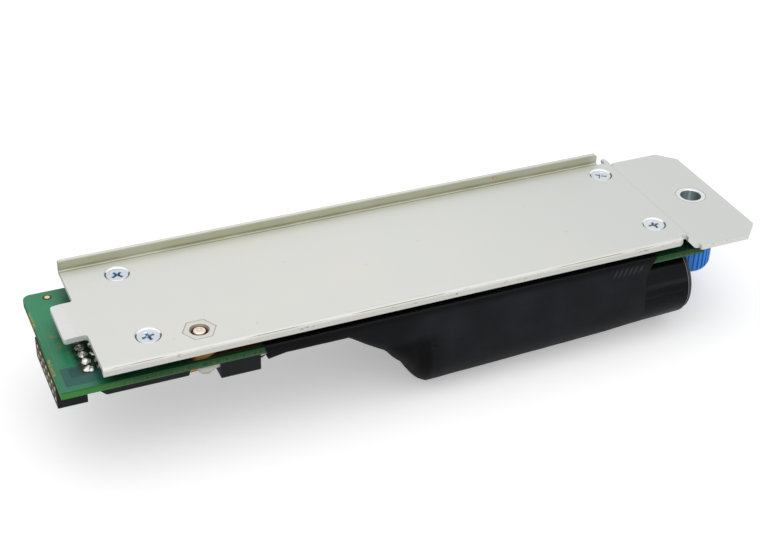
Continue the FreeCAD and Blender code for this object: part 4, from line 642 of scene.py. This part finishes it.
def filmOutline(x):
    # Points round one section: from the middle of the top, down the near side, under, and back up.
    depth, corner, spread = filmShape(x)
    low, top = film["boardBottom"] - depth, film["top"]
    corner = min(corner, (top - low) * 0.46)
    near = film["boardNear"] + (film["cellNear"] - film["boardNear"]) * spread
    far = film["boardFar"] + (film["cellFar"] - film["boardFar"]) * spread
    middle = (film["boardNear"] + film["boardFar"]) / 2
    sharp = min(1.0, max(0.0, (x - 10) / 9))
    small = film["softCorner"] + (film["topCorner"] - film["softCorner"]) * sharp
    crease = low + corner + film["crease"] * (top - small - low - corner)
    counts = film["counts"]
    sides = []
    for edge, side, sign in ((film["boardNear"], near, -1), (film["boardFar"], far, 1)):
        half = []

        def run(y0, z0, y1, z1, count):
            half.extend((y0 + (y1 - y0) * i / count, z0 + (z1 - z0) * i / count) for i in range(count))

        run(middle, top, edge - sign * small, top, counts["top"])
        for i in range(counts["topCorner"]):
            angle = math.pi / 2 * i / counts["topCorner"]
            half.append((edge - sign * small * (1 - math.sin(angle)), top - small * (1 - math.cos(angle))))
        run(edge, top - small, side, crease, counts["upperSide"])
        run(side, crease, side, low + corner, counts["lowerSide"])
        for i in range(counts["corner"]):
            angle = math.pi / 2 * i / counts["corner"]
            half.append((side - sign * corner * (1 - math.cos(angle)), low + corner * (1 - math.sin(angle))))
        run(side - sign * corner, low, middle, low, counts["bottom"])
        sides.append(half)
    return sides[0] + [(middle, low)] + sides[1][:0:-1]


def bell(value, centre, width):
    return math.exp(-((value - centre) / width) ** 2)


def filmFolds(x, y, z, share):
    # How far the film stands out, in millimetres. share runs from 0 at the board's edge to 1 at the bottom.
    push = (0.08 if x > -20 else 0.03) * math.sin(0.55 * x + 2.2 * math.sin(0.21 * x)) * bell(share, 0.35, 0.30)
    if y < -12:
        # Slanted shrink ridges near the right end, just under the board.
        for index, start in enumerate(film["ridges"]):
            line = start + film["ridgeLean"] * (z - 21)
            push += (0.30 - 0.012 * index) * bell(x, line, 0.30) * bell(z, 21.3, 1.1)
        # A crease arc and a dimple where the flare meets the cells.
        arc = -1.9 - 0.018 * (z - 9) ** 2
        push -= 0.44 * bell(x, arc - 2.4, 1.4) * bell(z, 10.5, 6.0)
        push += 0.20 * bell(x, arc + 0.3, 0.7) * bell(z, 10.5, 6.5)
        push -= 0.50 * bell(x, -1.3, 0.5) * bell(z, 14.0, 0.6)
        push += 0.14 * bell(x, -3.3, 0.9) * bell(z, 16.9, 0.8)
        # The lead under the film lifts it through the neck, and a soft bulge stands beside the lip.
        push += 0.10 * bell(z, 20.9, 0.6) * (1 if x < -21 else 0)
        push += 0.16 * bell(x, 14.8, 2.4) * bell(z, 22.4, 0.9)
        # Past the board's end the film is drawn in over the cell.
        push += 0.12 * bell(x, 50.2, 1.0) * bell(z, 19.0, 4.0)
    if x > 44:
        push -= 0.22 * min(1.0, (x - 44) / 7) * min(1.0, share * 4)
    return push


def filmEnd(z):
    # The cut end bows: furthest over the board, least below it.
    if z > 17:
        return film["right"] + (film["tip"] - film["right"]) * ((z - 17) / (film["top"] - 17)) ** 2
    return film["right"] + 0.06 * (17 - z)


def makeFilm():
    stations = film["stations"]
    around = len(filmOutline(0.0))
    deselect()
    meshOps.primitive_grid_add(x_subdivisions=around, y_subdivisions=stations - 1, size=1)
    sheet = bpy.context.object
    places = []
    for row in range(stations):
        station = film["left"] + (film["tip"] - film["left"]) * row / (stations - 1)
        outline = filmOutline(station)
        half = film["counts"]["top"]
        for column in range(around + 1):
            y, z = outline[column % around]
            before, after = outline[(column - 1) % around], outline[(column + 1) % around]
            out = Vector((after[1] - before[1], before[0] - after[0])).normalized()
            if out.x * (y + 0.9) + out.y * (z - 12) < 0:
                out.negate()
            step = min(column, around - column)
            share = max(0.0, (step - half) / (around // 2 - half))
            x = station
            if x < -36:
                x -= film["slant"] * (-36 - x) / (-36 - film["left"]) * min(1.0, max(0.0, (z - 19.3) / 3.5))
            elif x > 40:
                x = 40 + (x - 40) * (filmEnd(z) - 40) / (film["tip"] - 40)
            push = filmFolds(x, y, z, share) if share > 0 else 0.0
            places.extend((x * mm, (y + out.x * push) * mm, max(0.02, z + out.y * push) * mm))
    sheet.data.vertices.foreach_set("co", places)
    sheet.data.update()
    activate(sheet)
    editAll()
    meshOps.remove_doubles(threshold=0.00001)
    meshOps.normals_make_consistent(inside=False)
    mode("OBJECT")
    modify(sheet, "SOLIDIFY", thickness=film["wall"] * mm, offset=-1)
    sheet.name = "shrinkFilm"
    smooth(sheet, 60)
    return sheet


def cellAxis(nodeName):
    # Radius, lean and the centres of both ends of a cell, from its box.
    low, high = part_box(nodeName)
    radius = (high.y - low.y) / 2
    lean = (high.z - low.z - 2 * radius) / (high.x - low.x)
    middle = (low.y + high.y) / 2
    start = Vector((low.x + lean * radius, middle, low.z + radius))
    return radius, lean, start, Vector((high.x - lean * radius, middle, high.z - radius))


filmLook = {"colour": (0.0110, 0.0116, 0.0145), "rough": 0.34, "shine": 0.12,
            "wrapColour": (0.0044, 0.0048, 0.0064), "wrapRough": 0.20, "wrapShine": 0.11,
            "speck": (0.04, 0.04, 0.045), "stretched": (0.001, 0.001, 0.0014), "upper": (0.001, 0.001, 0.0012),
            "crest": (0.050, 0.051, 0.056), "streak": (0.020, 0.021, 0.024), "shadow": (0.0012, 0.0012, 0.0015),
            "rim": (0.24, 0.24, 0.25)}


def makeFilmMaterial(name, colour, rough, shine, waves):
    material = newMaterial(name, colour, rough, 0.0, IOR=1.47, Specular_IOR_Level=shine)
    tones = mottled(90.0, 1500.0)
    stretched = noise((0.12, 1, 1), 420.0)
    wide = noise((0.5, 1, 1), 70.0, 2.0, 0.5)
    shade = paint(colour, scaled(colour, 1.5), ramp(tones[0], 0.35, 0.7))
    shade = paint(shade, filmLook["speck"], useGroup(scratches, Lines=90.0, Pits=420.0)[1], 0.2)
    x, y, z = splitPoint()
    if name == "filmBlack":
        # The film is painted darker over the neck and the flare, a painted shade where the flare turns in and down,
        # and a painted shadow runs along its top under the lip; the crests of the shrink ridges are painted paler, a
        # painted highlight.
        hollow = times(ramp(x, 0.003, -0.004), ramp(z, 0.0185, 0.0150))
        stretch = most(times(hollow, 0.92), ramp(x, -0.002, -0.010, 0.0, 0.55))
        shade = paint(shade, filmLook["stretched"], stretch)
        shade = paint(shade, filmLook["upper"], ramp(z, 0.0212, 0.0232, 0.0, 0.8))
        crest = minus(x, times(minus(z, 0.021), film["ridgeLean"]))
        pitch = (film["ridges"][1] - film["ridges"][0]) * mm
        crest = maths("DIVIDE", minus(crest, (film["ridges"][0] - 0.12) * mm - pitch / 2), pitch)
        crest = ramp(maths("ABSOLUTE", minus(maths("FRACT", crest), 0.5)), 0.22, 0.05)
        crest = times(crest, inside(z, 0.0203, 0.0226, 0.0007),
                      inside(x, (film["ridges"][0] - 0.9) * mm, 0.0503, 0.0003), ramp(y, -0.0180, -0.0185, 0.0, 0.75))
        shade = paint(shade, filmLook["crest"], crest)
    else:
        # Soft streaks along the can are a painted reflection, a painted shadow darkens its top under the board, and a
        # pale line round its end is a painted highlight.
        streaks = noise((0.02, 1, 1), 330.0, 2.0, 0.5)
        shade = paint(shade, filmLook["streak"], ramp(streaks, 0.50, 0.68, 0.0, 0.8))
        shade = paint(shade, filmLook["shadow"], ramp(z, 0.0165, 0.0190, 0.0, 0.8))
        _, lean, _, end = cellAxis("near_cell_wrap")
        reach = plus(x, times(minus(z, end.z), lean))
        rim = inside(reach, end.x - 0.00044, end.x - 0.00010, 0.0001)
        shade = paint(shade, filmLook["rim"], rim)
    feed(Base_Color=shade, Roughness=plus(times(tones[0], 0.14), rough - 0.06))
    addBump(plus(times(stretched, 0.4), wide), waves, 0.0003)
    return material


filmBlack = makeFilmMaterial("filmBlack", filmLook["colour"], filmLook["rough"], filmLook["shine"], 0.20)
wrapBlack = makeFilmMaterial("wrapBlack", filmLook["wrapColour"], filmLook["wrapRough"], filmLook["wrapShine"], 0.14)
shrinkFilm = makeFilm()
dress(shrinkFilm, filmBlack, "shrink_sleeve", slot="black_film")
print("film modelled:", len(shrinkFilm.data.polygons), "faces")

# The wraps of the two cells: tubes shrunk over the cans, with a soft rim folded in at each end.
wrap = {"round": 0.50, "mouth": 7.4, "wall": 0.12, "sides": 96, "dip": 0.12}


def makeWrap(nodeName, pieceName):
    radius, _, start, end = cellAxis(nodeName)
    line = (end - start).normalized()
    deselect()
    meshOps.primitive_cylinder_add(vertices=wrap["sides"], radius=radius, depth=(end - start).length,
                                   location=(start + end) / 2, rotation=line.to_track_quat("Z", "Y").to_euler())
    tube = bpy.context.object
    settle(tube)
    pickFaces(tube, lambda centre, normal: abs(normal.dot(line)) > 0.9)
    meshOps.region_to_loop()
    meshOps.bevel(offset=wrap["round"] * mm, segments=5, affect="EDGES")
    mode("OBJECT")
    pickFaces(tube, lambda centre, normal: abs(normal.dot(line)) > 0.999)
    meshOps.inset(thickness=radius - (wrap["mouth"] + wrap["round"] / 2) * mm, depth=-wrap["dip"] * mm)
    meshOps.delete(type="FACE")
    mode("OBJECT")
    modify(tube, "SOLIDIFY", thickness=wrap["wall"] * mm, offset=-1)
    tube.name = pieceName
    smooth(tube, 40)
    dress(tube, wrapBlack, nodeName, slot="black_film")


makeWrap("near_cell_wrap", "nearCellWrap")
makeWrap("far_cell_wrap", "farCellWrap")
print("cell wraps modelled")

# Moulded, rubber and metal finishes of the small pieces.


def makePlastic(name, colour, rough, grain=0.08, spread=1.25, shine=0.5):
    material = newMaterial(name, colour, rough, Specular_IOR_Level=shine)
    tones = mottled(160.0, 4200.0)
    shade = paint(colour, scaled(colour, spread), ramp(tones[0], 0.35, 0.65))
    feed(Base_Color=shade, Roughness=plus(times(tones[1], 0.12), rough - 0.06))
    addBump(tones[1], grain, 0.00004)
    return material


def metalTones(dark, light):
    tones = mottled(300.0, 5200.0)
    return paint(dark, light, ramp(tones[0], 0.35, 0.65)), tones


def finishMetal(tone, tones, rough, grain=0.06):
    feed(Base_Color=tone, Roughness=plus(times(tones[0], 0.2), rough))
    addBump(tones[1], grain, 0.00003)


def makeMetal(name, colour, rough):
    material = newMaterial(name, colour, rough, 1.0)
    finishMetal(*metalTones(scaled(colour, 0.82), colour), rough - 0.1)
    return material


blackPlastic = makePlastic("blackPlastic", (0.0055, 0.0062, 0.0082), 0.34, shine=0.28)
knobBlue = makePlastic("knobBlue", (0.052, 0.300, 0.86), 0.42, shine=0.35)
creamPlastic = makePlastic("creamPlastic", (0.52, 0.50, 0.45), 0.55)
whitePlastic = makePlastic("whitePlastic", (0.72, 0.71, 0.67), 0.45)
foamBlack = makePlastic("foamBlack", (0.0075, 0.0080, 0.0095), 0.50, 0.35, shine=0.28)
ferrite = makePlastic("ferriteGrey", (0.035, 0.034, 0.035), 0.6, 0.25)
ceramic = makePlastic("ceramicTan", (0.30, 0.21, 0.14), 0.45)
pressedBoard = makePlastic("pressedBoard", (0.05, 0.055, 0.055), 0.7, 0.3)
copper = makeMetal("bareCopper", (0.78, 0.30, 0.12), 0.42)
nickel = makeMetal("nickelStrip", (0.62, 0.60, 0.55), 0.34)
springWire = makeMetal("springWire", (0.55, 0.56, 0.57), 0.28)

wear(turnedSteel, "board_spacers", "captive_washer", "near_cell", "far_cell")
wear(nickel, "series_link", "lead_tabs")
wear(blackPlastic, "negative_lead", "thermistor")
wear(whitePlastic, "positive_lead")
wear(pressedBoard, "end_insulator")


amber = {"plain": (0.05, 0.024, 0.006), "dark": (0.045, 0.020, 0.006), "glow": (0.62, 0.29, 0.055)}


def makeAmberFilm():
    # Dark brown over the parts beneath it, partly a painted shade of the space under the plate, with one band painted
    # bright amber as a painted highlight.
    material = newMaterial("amberFilm", amber["plain"], 0.24, Specular_IOR_Level=0.3)
    tones = mottled(300.0, 2600.0)
    glow = times(inside(splitPoint()[0], -0.0543, -0.0503, 0.0014), ramp(tones[0], 0.25, 0.55, 0.5, 1.0))
    tone = paint(amber["dark"], amber["glow"], glow)
    feed(Base_Color=tone, Roughness=plus(times(tones[0], 0.15), 0.17))
    addBump(tones[0], 0.15, 0.00008)
    return material


wear(makeAmberFilm(), "insulating_tape")
soften("thumb_knob", "thumbKnobBody", 0.10, knobBlue, "blue_plastic", body="captive_fastener")
soften("connector_housing", "connectorHousingBody", 0.14, blackPlastic, "black_plastic")

gold = {
    "colour": (0.93, 0.68, 0.26), "dark": (0.76, 0.54, 0.20), "tip": (1.0, 0.76, 0.30), "tail": (0.62, 0.60, 0.54),
    "padDark": (0.80, 0.56, 0.20), "padLight": (0.95, 0.70, 0.28), "padRim": (0.012, 0.016, 0.008),
}


def makeContactGold():
    # Bright gold at the mating tips, and tinned grey where the tails stand in solder.
    material = newMaterial("contactGold", gold["colour"], 0.30, 0.5)
    tone, tones = metalTones(gold["dark"], gold["colour"])
    x, _, z = splitPoint()
    tone = paint(tone, gold["tip"], ramp(x, -0.0806, -0.0809))
    tone = paint(tone, gold["tail"], ramp(z, 0.0230, 0.0231))
    finishMetal(tone, tones, 0.22)
    return material


contact = {"limit": -0.0807, "shift": 0.00038, "grow": 1.5}


def spreadTips(piece):
    # Each contact's mating end is pressed wider, flush with the housing's face.
    owner = list(range(len(piece.data.vertices)))

    def root(index):
        while owner[index] != index:
            index = owner[index]
        return index

    for edge in piece.data.edges:
        owner[root(edge.vertices[0])] = root(edge.vertices[1])
    tips = {}
    for vertex in piece.data.vertices:
        if vertex.co.x < contact["limit"]:
            tips.setdefault(root(vertex.index), []).append(vertex)
    for tip in tips.values():
        middle = sum((vertex.co for vertex in tip), Vector()) / len(tip)
        for vertex in tip:
            vertex.co.x -= contact["shift"]
            vertex.co.y = middle.y + (vertex.co.y - middle.y) * contact["grow"]
            vertex.co.z = middle.z + (vertex.co.z - middle.z) * contact["grow"]
    print("contact tips spread:", len(tips))


spreadTips(soften("connector_contacts", "connectorContactBars", 0.06, makeContactGold(), "gold_plate", segments=1))
soften("battery_plug", "batteryPlugBody", 0.16, blackPlastic, "black_plastic")
soften("foam_strip", "foamStripBody", 0.50, foamBlack, "foam", segments=4)
soften("left_foam_pad", "leftFoamPadBody", 0.30, foamBlack, "foam")
soften("right_foam_pad", "rightFoamPadBody", 0.30, foamBlack, "foam")
soften("lead_end", "copperLeadEnd", 0.20, copper, "copper", segments=3)
for nodeName, pieceName, material, slot in (
        ("charger_chip", "chargerChipBody", blackPlastic, "black_plastic"),
        ("gauge_chip", "gaugeChipBody", blackPlastic, "black_plastic"),
        ("power_transistors", "powerTransistorBodies", blackPlastic, "black_plastic"),
        ("power_inductor", "powerInductorBody", ferrite, "ferrite"),
        ("chip_capacitors", "chipCapacitorBodies", ceramic, "ceramic_parts"),
        ("chip_resistors", "chipResistorBodies", ceramic, "ceramic_parts")):
    soften(nodeName, pieceName, 0.07, material, slot)
print("small pieces softened")


def makeSpring():
    coil = copyNode("captive_spring", "returnSpringCoil")
    smooth(coil, 50)
    dress(coil, springWire, "captive_spring", slot="spring_steel")
    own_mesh(coil)


makeSpring()

# The lead's moulded end: a cream drop drawn from its tip to the plug, through a list of rings.
drop = {
    "rings": ((-53.35, 20.75, 0.62), (-53.0, 20.6, 0.84), (-52.4, 20.28, 1.08), (-51.6, 20.08, 1.25),
              (-50.9, 20.12, 1.22), (-50.2, 20.35, 1.02), (-49.4, 20.52, 0.84), (-48.3, 20.62, 0.76)),
    "y": -16.95, "sides": 28,
}


def makeDrop():
    oldX, oldZ, oldRadius = drop["rings"][0]
    deselect()
    meshOps.primitive_circle_add(vertices=drop["sides"], radius=oldRadius * mm, fill_type="NGON",
                                 location=(oldX * mm, drop["y"] * mm, oldZ * mm), rotation=(0, math.radians(90), 0))
    piece = bpy.context.object
    settle(piece)
    editAll()
    for x, z, radius in drop["rings"][1:]:
        meshOps.extrude_region_move(TRANSFORM_OT_translate={"value": ((x - oldX) * mm, 0, (z - oldZ) * mm)})
        grow = radius / oldRadius
        bpy.ops.transform.resize(value=(1, grow, grow), center_override=(x * mm, drop["y"] * mm, z * mm))
        oldX, oldZ, oldRadius = x, z, radius
    meshOps.select_all(action="SELECT")
    meshOps.normals_make_consistent(inside=False)
    mode("OBJECT")
    piece.name = "leadEndDrop"
    roundEdges(piece, 0.0003, 50, 3)
    smooth(piece, 50)
    dress(piece, creamPlastic, "board_lead", slot="cream_plastic")


makeDrop()

# Solder joints: each a slumped blob of its own shape round the tail of a contact.
joint = {
    "columns": (-74.20, -71.66), "first": -12.72, "step": 2.54, "count": 7, "radius": 1.10, "height": 0.72,
    "slump": 0.75, "lumps": 0.9, "bright": (0.80, 0.79, 0.74), "flux": (0.035, 0.030, 0.012),
}


def makeJoints():
    lumps = bpy.data.textures.new("jointLumps", "CLOUDS")
    lumps.noise_scale = joint["lumps"] * mm
    blobs = []
    for column in joint["columns"]:
        for index in range(joint["count"]):
            spot = (column * mm, (joint["first"] + joint["step"] * index) * mm, boardHigh.z)
            deselect()
            meshOps.primitive_ico_sphere_add(subdivisions=4, radius=joint["radius"] * mm, location=spot)
            blob = bpy.context.object
            blob.scale = (1, 1, joint["height"] / joint["radius"])
            settle(blob)
            # The upper part is drawn up towards the contact's tail, the foot is cut at the board.
            for vertex in blob.data.vertices:
                away = math.hypot(vertex.co.x - spot[0], vertex.co.y - spot[1]) / (joint["radius"] * mm)
                if vertex.co.z > spot[2]:
                    vertex.co.z = spot[2] + (vertex.co.z - spot[2]) * (0.55 + 0.45 * (1 - away) ** 0.6)
            modify(blob, "DISPLACE", texture=lumps, texture_coords="GLOBAL", strength=joint["slump"] * mm,
                   mid_level=0.55)
            editAll()
            meshOps.bisect(plane_co=(spot[0], spot[1], spot[2] + 0.00001), plane_no=(0, 0, 1), use_fill=True,
                           clear_inner=True)
            mode("OBJECT")
            blobs.append(blob)
    joined = joinPieces(blobs, "solderBlobs")
    smooth(joined, 60)
    material = newMaterial("solderBright", joint["bright"], 0.34, 0.55)
    tones = mottled(900.0, 5200.0)
    x, y, z = splitPoint()
    # Burnt flux round the foot, and the blobs further in darkened in patches.
    foot = ramp(z, boardHigh.z + 0.00032, boardHigh.z + 0.00004)
    further = most(ramp(y, -0.0095, -0.0070, 0.20, 0.85), ramp(x, -0.0734, -0.0726))
    burnt = most(foot, times(ramp(tones[0], 0.40, 0.52), further))
    finishMetal(paint(joint["bright"], joint["flux"], burnt), tones, 0.24, 0.08)
    dress(joined, material, "solder_joints", slot="solder")


makeJoints()
print("solder joints modelled")

# The circuit board: solder mask over copper, with its bare laminate at the edges.
boardLook = {
    "mask": (0.030, 0.255, 0.120), "dim": (0.018, 0.155, 0.078), "deep": (0.004, 0.045, 0.016),
    "pour": (0.014, 0.088, 0.076), "pourDark": (0.008, 0.056, 0.045),
    "core": (0.070, 0.100, 0.045), "coreDark": (0.012, 0.042, 0.018), "lit": (0.060, 0.290, 0.060),
    "skin": (0.034, 0.150, 0.045), "upper": (0.009, 0.068, 0.017),
    "line": (0.14, 0.24, 0.09), "gold": (0.50, 0.33, 0.09),
    "flux": (0.20, 0.19, 0.06), "burnt": (0.007, 0.014, 0.006),
    "ring": (0.010, 0.030, 0.012), "fiducial": (-0.0762, 0.0152),
    "marks": ((-0.07785, 0.00049), (-0.07725, -0.00275), (-0.0762, -0.0062)),
    "fields": (("pour", 0.0013, 0.0090, 0.0014, 0.0078), ("pourDark", 0.0030, 0.0062, 0.0040, 0.0072)),
}


def makeBoardMaterial():
    material = newMaterial("solderMask", boardLook["mask"], 0.30, 0.0, Specular_IOR_Level=0.28)
    x, y, z = splitPoint()
    tones = mottled(75.0, 2600.0)
    left, near = boardLow.x, boardLow.y
    shade = paint(scaled(boardLook["mask"], 0.8), boardLook["mask"], ramp(tones[0], 0.3, 0.7))
    # Towards the joints and away from the open end the mask is painted darker, a painted shade of the plate above it.
    shade = paint(shade, boardLook["dim"], ramp(y, 0.010, -0.004, 0.0, 0.75))
    shade = paint(shade, boardLook["deep"], ramp(x, left + 0.0045, left + 0.0120))
    # Two copper fields show through in the near left corner.
    for field, low, high, start, end in boardLook["fields"]:
        patch = times(inside(x, left + low, left + high), inside(y, near + start, near + end))
        shade = paint(shade, boardLook[field], patch, 0.9)
    # A thin ground line runs along the left edge.
    shade = paint(shade, boardLook["line"], inside(x, left + 0.00130, left + 0.00145, 0.00006), 0.40)
    # Flux, burnt brown close to the joints and yellowish further out.
    flow = noise((1, 1, 1), 650.0, 4.0, 0.65)
    for spot in boardLook["marks"]:
        mark = times(ramp(distanceTo(x, y, spot), 0.0023, 0.0006), ramp(flow, 0.52, 0.60))
        shade = paint(shade, boardLook["flux"], mark, 0.75)
    scorch = times(inside(x, -0.0768, -0.0702, 0.0012), inside(y, -0.0146, -0.0030, 0.0022),
                   ramp(flow, 0.30, 0.56, 0.45, 0.95))
    shade = paint(shade, boardLook["burnt"], scorch)
    # Bared mask round the fiducial mark.
    ring = inside(distanceTo(x, y, boardLook["fiducial"]), 0.0004, 0.00105, 0.00008)
    shade = paint(shade, boardLook["ring"], ring, 0.85)
    # The edges: routed laminate with fine ribs and a pale skin below, a painted shadow along their top under the lip,
    # and a painted highlight at the near left corner.
    side = ramp(maths("ABSOLUTE", facing()[2]), 0.75, 0.35)
    ribs = noise((1.0, 1.0, 0.05), 2600.0, 1.0, 0.5)
    core = paint(boardLook["coreDark"], boardLook["core"], ramp(ribs, 0.30, 0.70))
    core = paint(core, boardLook["skin"], ramp(z, 0.02200, 0.02180))
    core = paint(core, boardLook["upper"], ramp(z, 0.02240, 0.02265))
    corner = times(ramp(x, left + 0.018, left + 0.002), ramp(y, near + 0.03, near),
                   ramp(z, 0.02310, 0.02260, 0.35, 0.85))
    core = paint(core, boardLook["lit"], corner)
    shade = paint(shade, core, side)
    # Cut plated holes leave gold specks on the left edge.
    plated = noise((0.8, 1.1, 1), 3800.0, 3.0, 0.7)
    rows = most(inside(y, 0.0052, 0.0112, 0.0004), inside(y, -0.0126, -0.0066, 0.0004))
    specks = times(rows, ramp(x, left + 0.00065, left + 0.00025), ramp(plated, 0.49, 0.57))
    shade = paint(shade, boardLook["gold"], specks)
    rough = plus(times(side, 0.35), times(tones[0], 0.18), 0.17)
    feed(Base_Color=shade, Roughness=rough, Metallic=times(specks, 0.8))
    traces = add("TexBrick", {"offset": 0.37, "squash": 1.0}, Vector=objectPoint(), Scale=420.0)
    addBump(plus(times(traces.outputs["Fac"], 0.3), tones[1]), 0.12, 0.00004)
    return material


soften("circuit_board", "circuitBoardBody", 0.12, makeBoardMaterial(), "green_board")


def makePadGold():
    # The alignment mark is gold inside a dark rim of bare laminate.
    material = newMaterial("padGold", gold["colour"], 0.32, 0.5)
    tone, tones = metalTones(gold["padDark"], gold["padLight"])
    x, y, _ = splitPoint()
    rim = inside(distanceTo(x, y, boardLook["fiducial"]), 0.00052, 0.0012, 0.00006)
    finishMetal(paint(tone, gold["padRim"], rim), tones, 0.24)
    feed(Metallic=times(minus(1.0, rim), 0.5))
    return material


soften("board_pads", "boardPadRings", 0.015, makePadGold(), "gold_plate", segments=1)
print("board finished")

# A plain pale floor under soft studio light.
studio = {
    "floor": 3.0, "shown": 0.76, "seen": 0.58, "lift": 0.35, "sky": 0.50, "sun": 1.65, "spread": 90, "tilt": (20, -8),
}


def makeStudio():
    deselect()
    meshOps.primitive_plane_add(size=studio["floor"], location=(0, 0, -0.0002))
    floor = bpy.context.object
    floor.name = "studioFloor"
    shown, seen = (studio["shown"],) * 3, (studio["seen"],) * 3
    material = newMaterial("floorPaper", shown, 0.9, Emission_Color=(1, 1, 1, 1))
    camera = add("LightPath").outputs["Is Camera Ray"]
    feed(Base_Color=paint(seen, shown, camera), Emission_Strength=times(camera, studio["lift"]))
    floor.data.materials.append(material)
    world = bpy.data.worlds.new("studioSky")
    scene.world = world
    world.use_nodes = True
    openTree(world.node_tree, "Background")
    opened["end"].inputs["Color"].default_value = (1, 1, 1, 1)
    rays = add("LightPath").outputs
    backdrop = most(rays["Is Camera Ray"], rays["Is Glossy Ray"], rays["Is Transmission Ray"])
    feed(Strength=plus(times(backdrop, 1 - studio["sky"]), studio["sky"]))
    lamp = bpy.data.lights.new("softSun", "SUN")
    lamp.energy = studio["sun"]
    lamp.angle = math.radians(studio["spread"])
    sun = bpy.data.objects.new("softSun", lamp)
    scene.collection.objects.link(sun)
    sun.rotation_euler = (math.radians(studio["tilt"][0]), math.radians(studio["tilt"][1]), 0)


makeStudio()
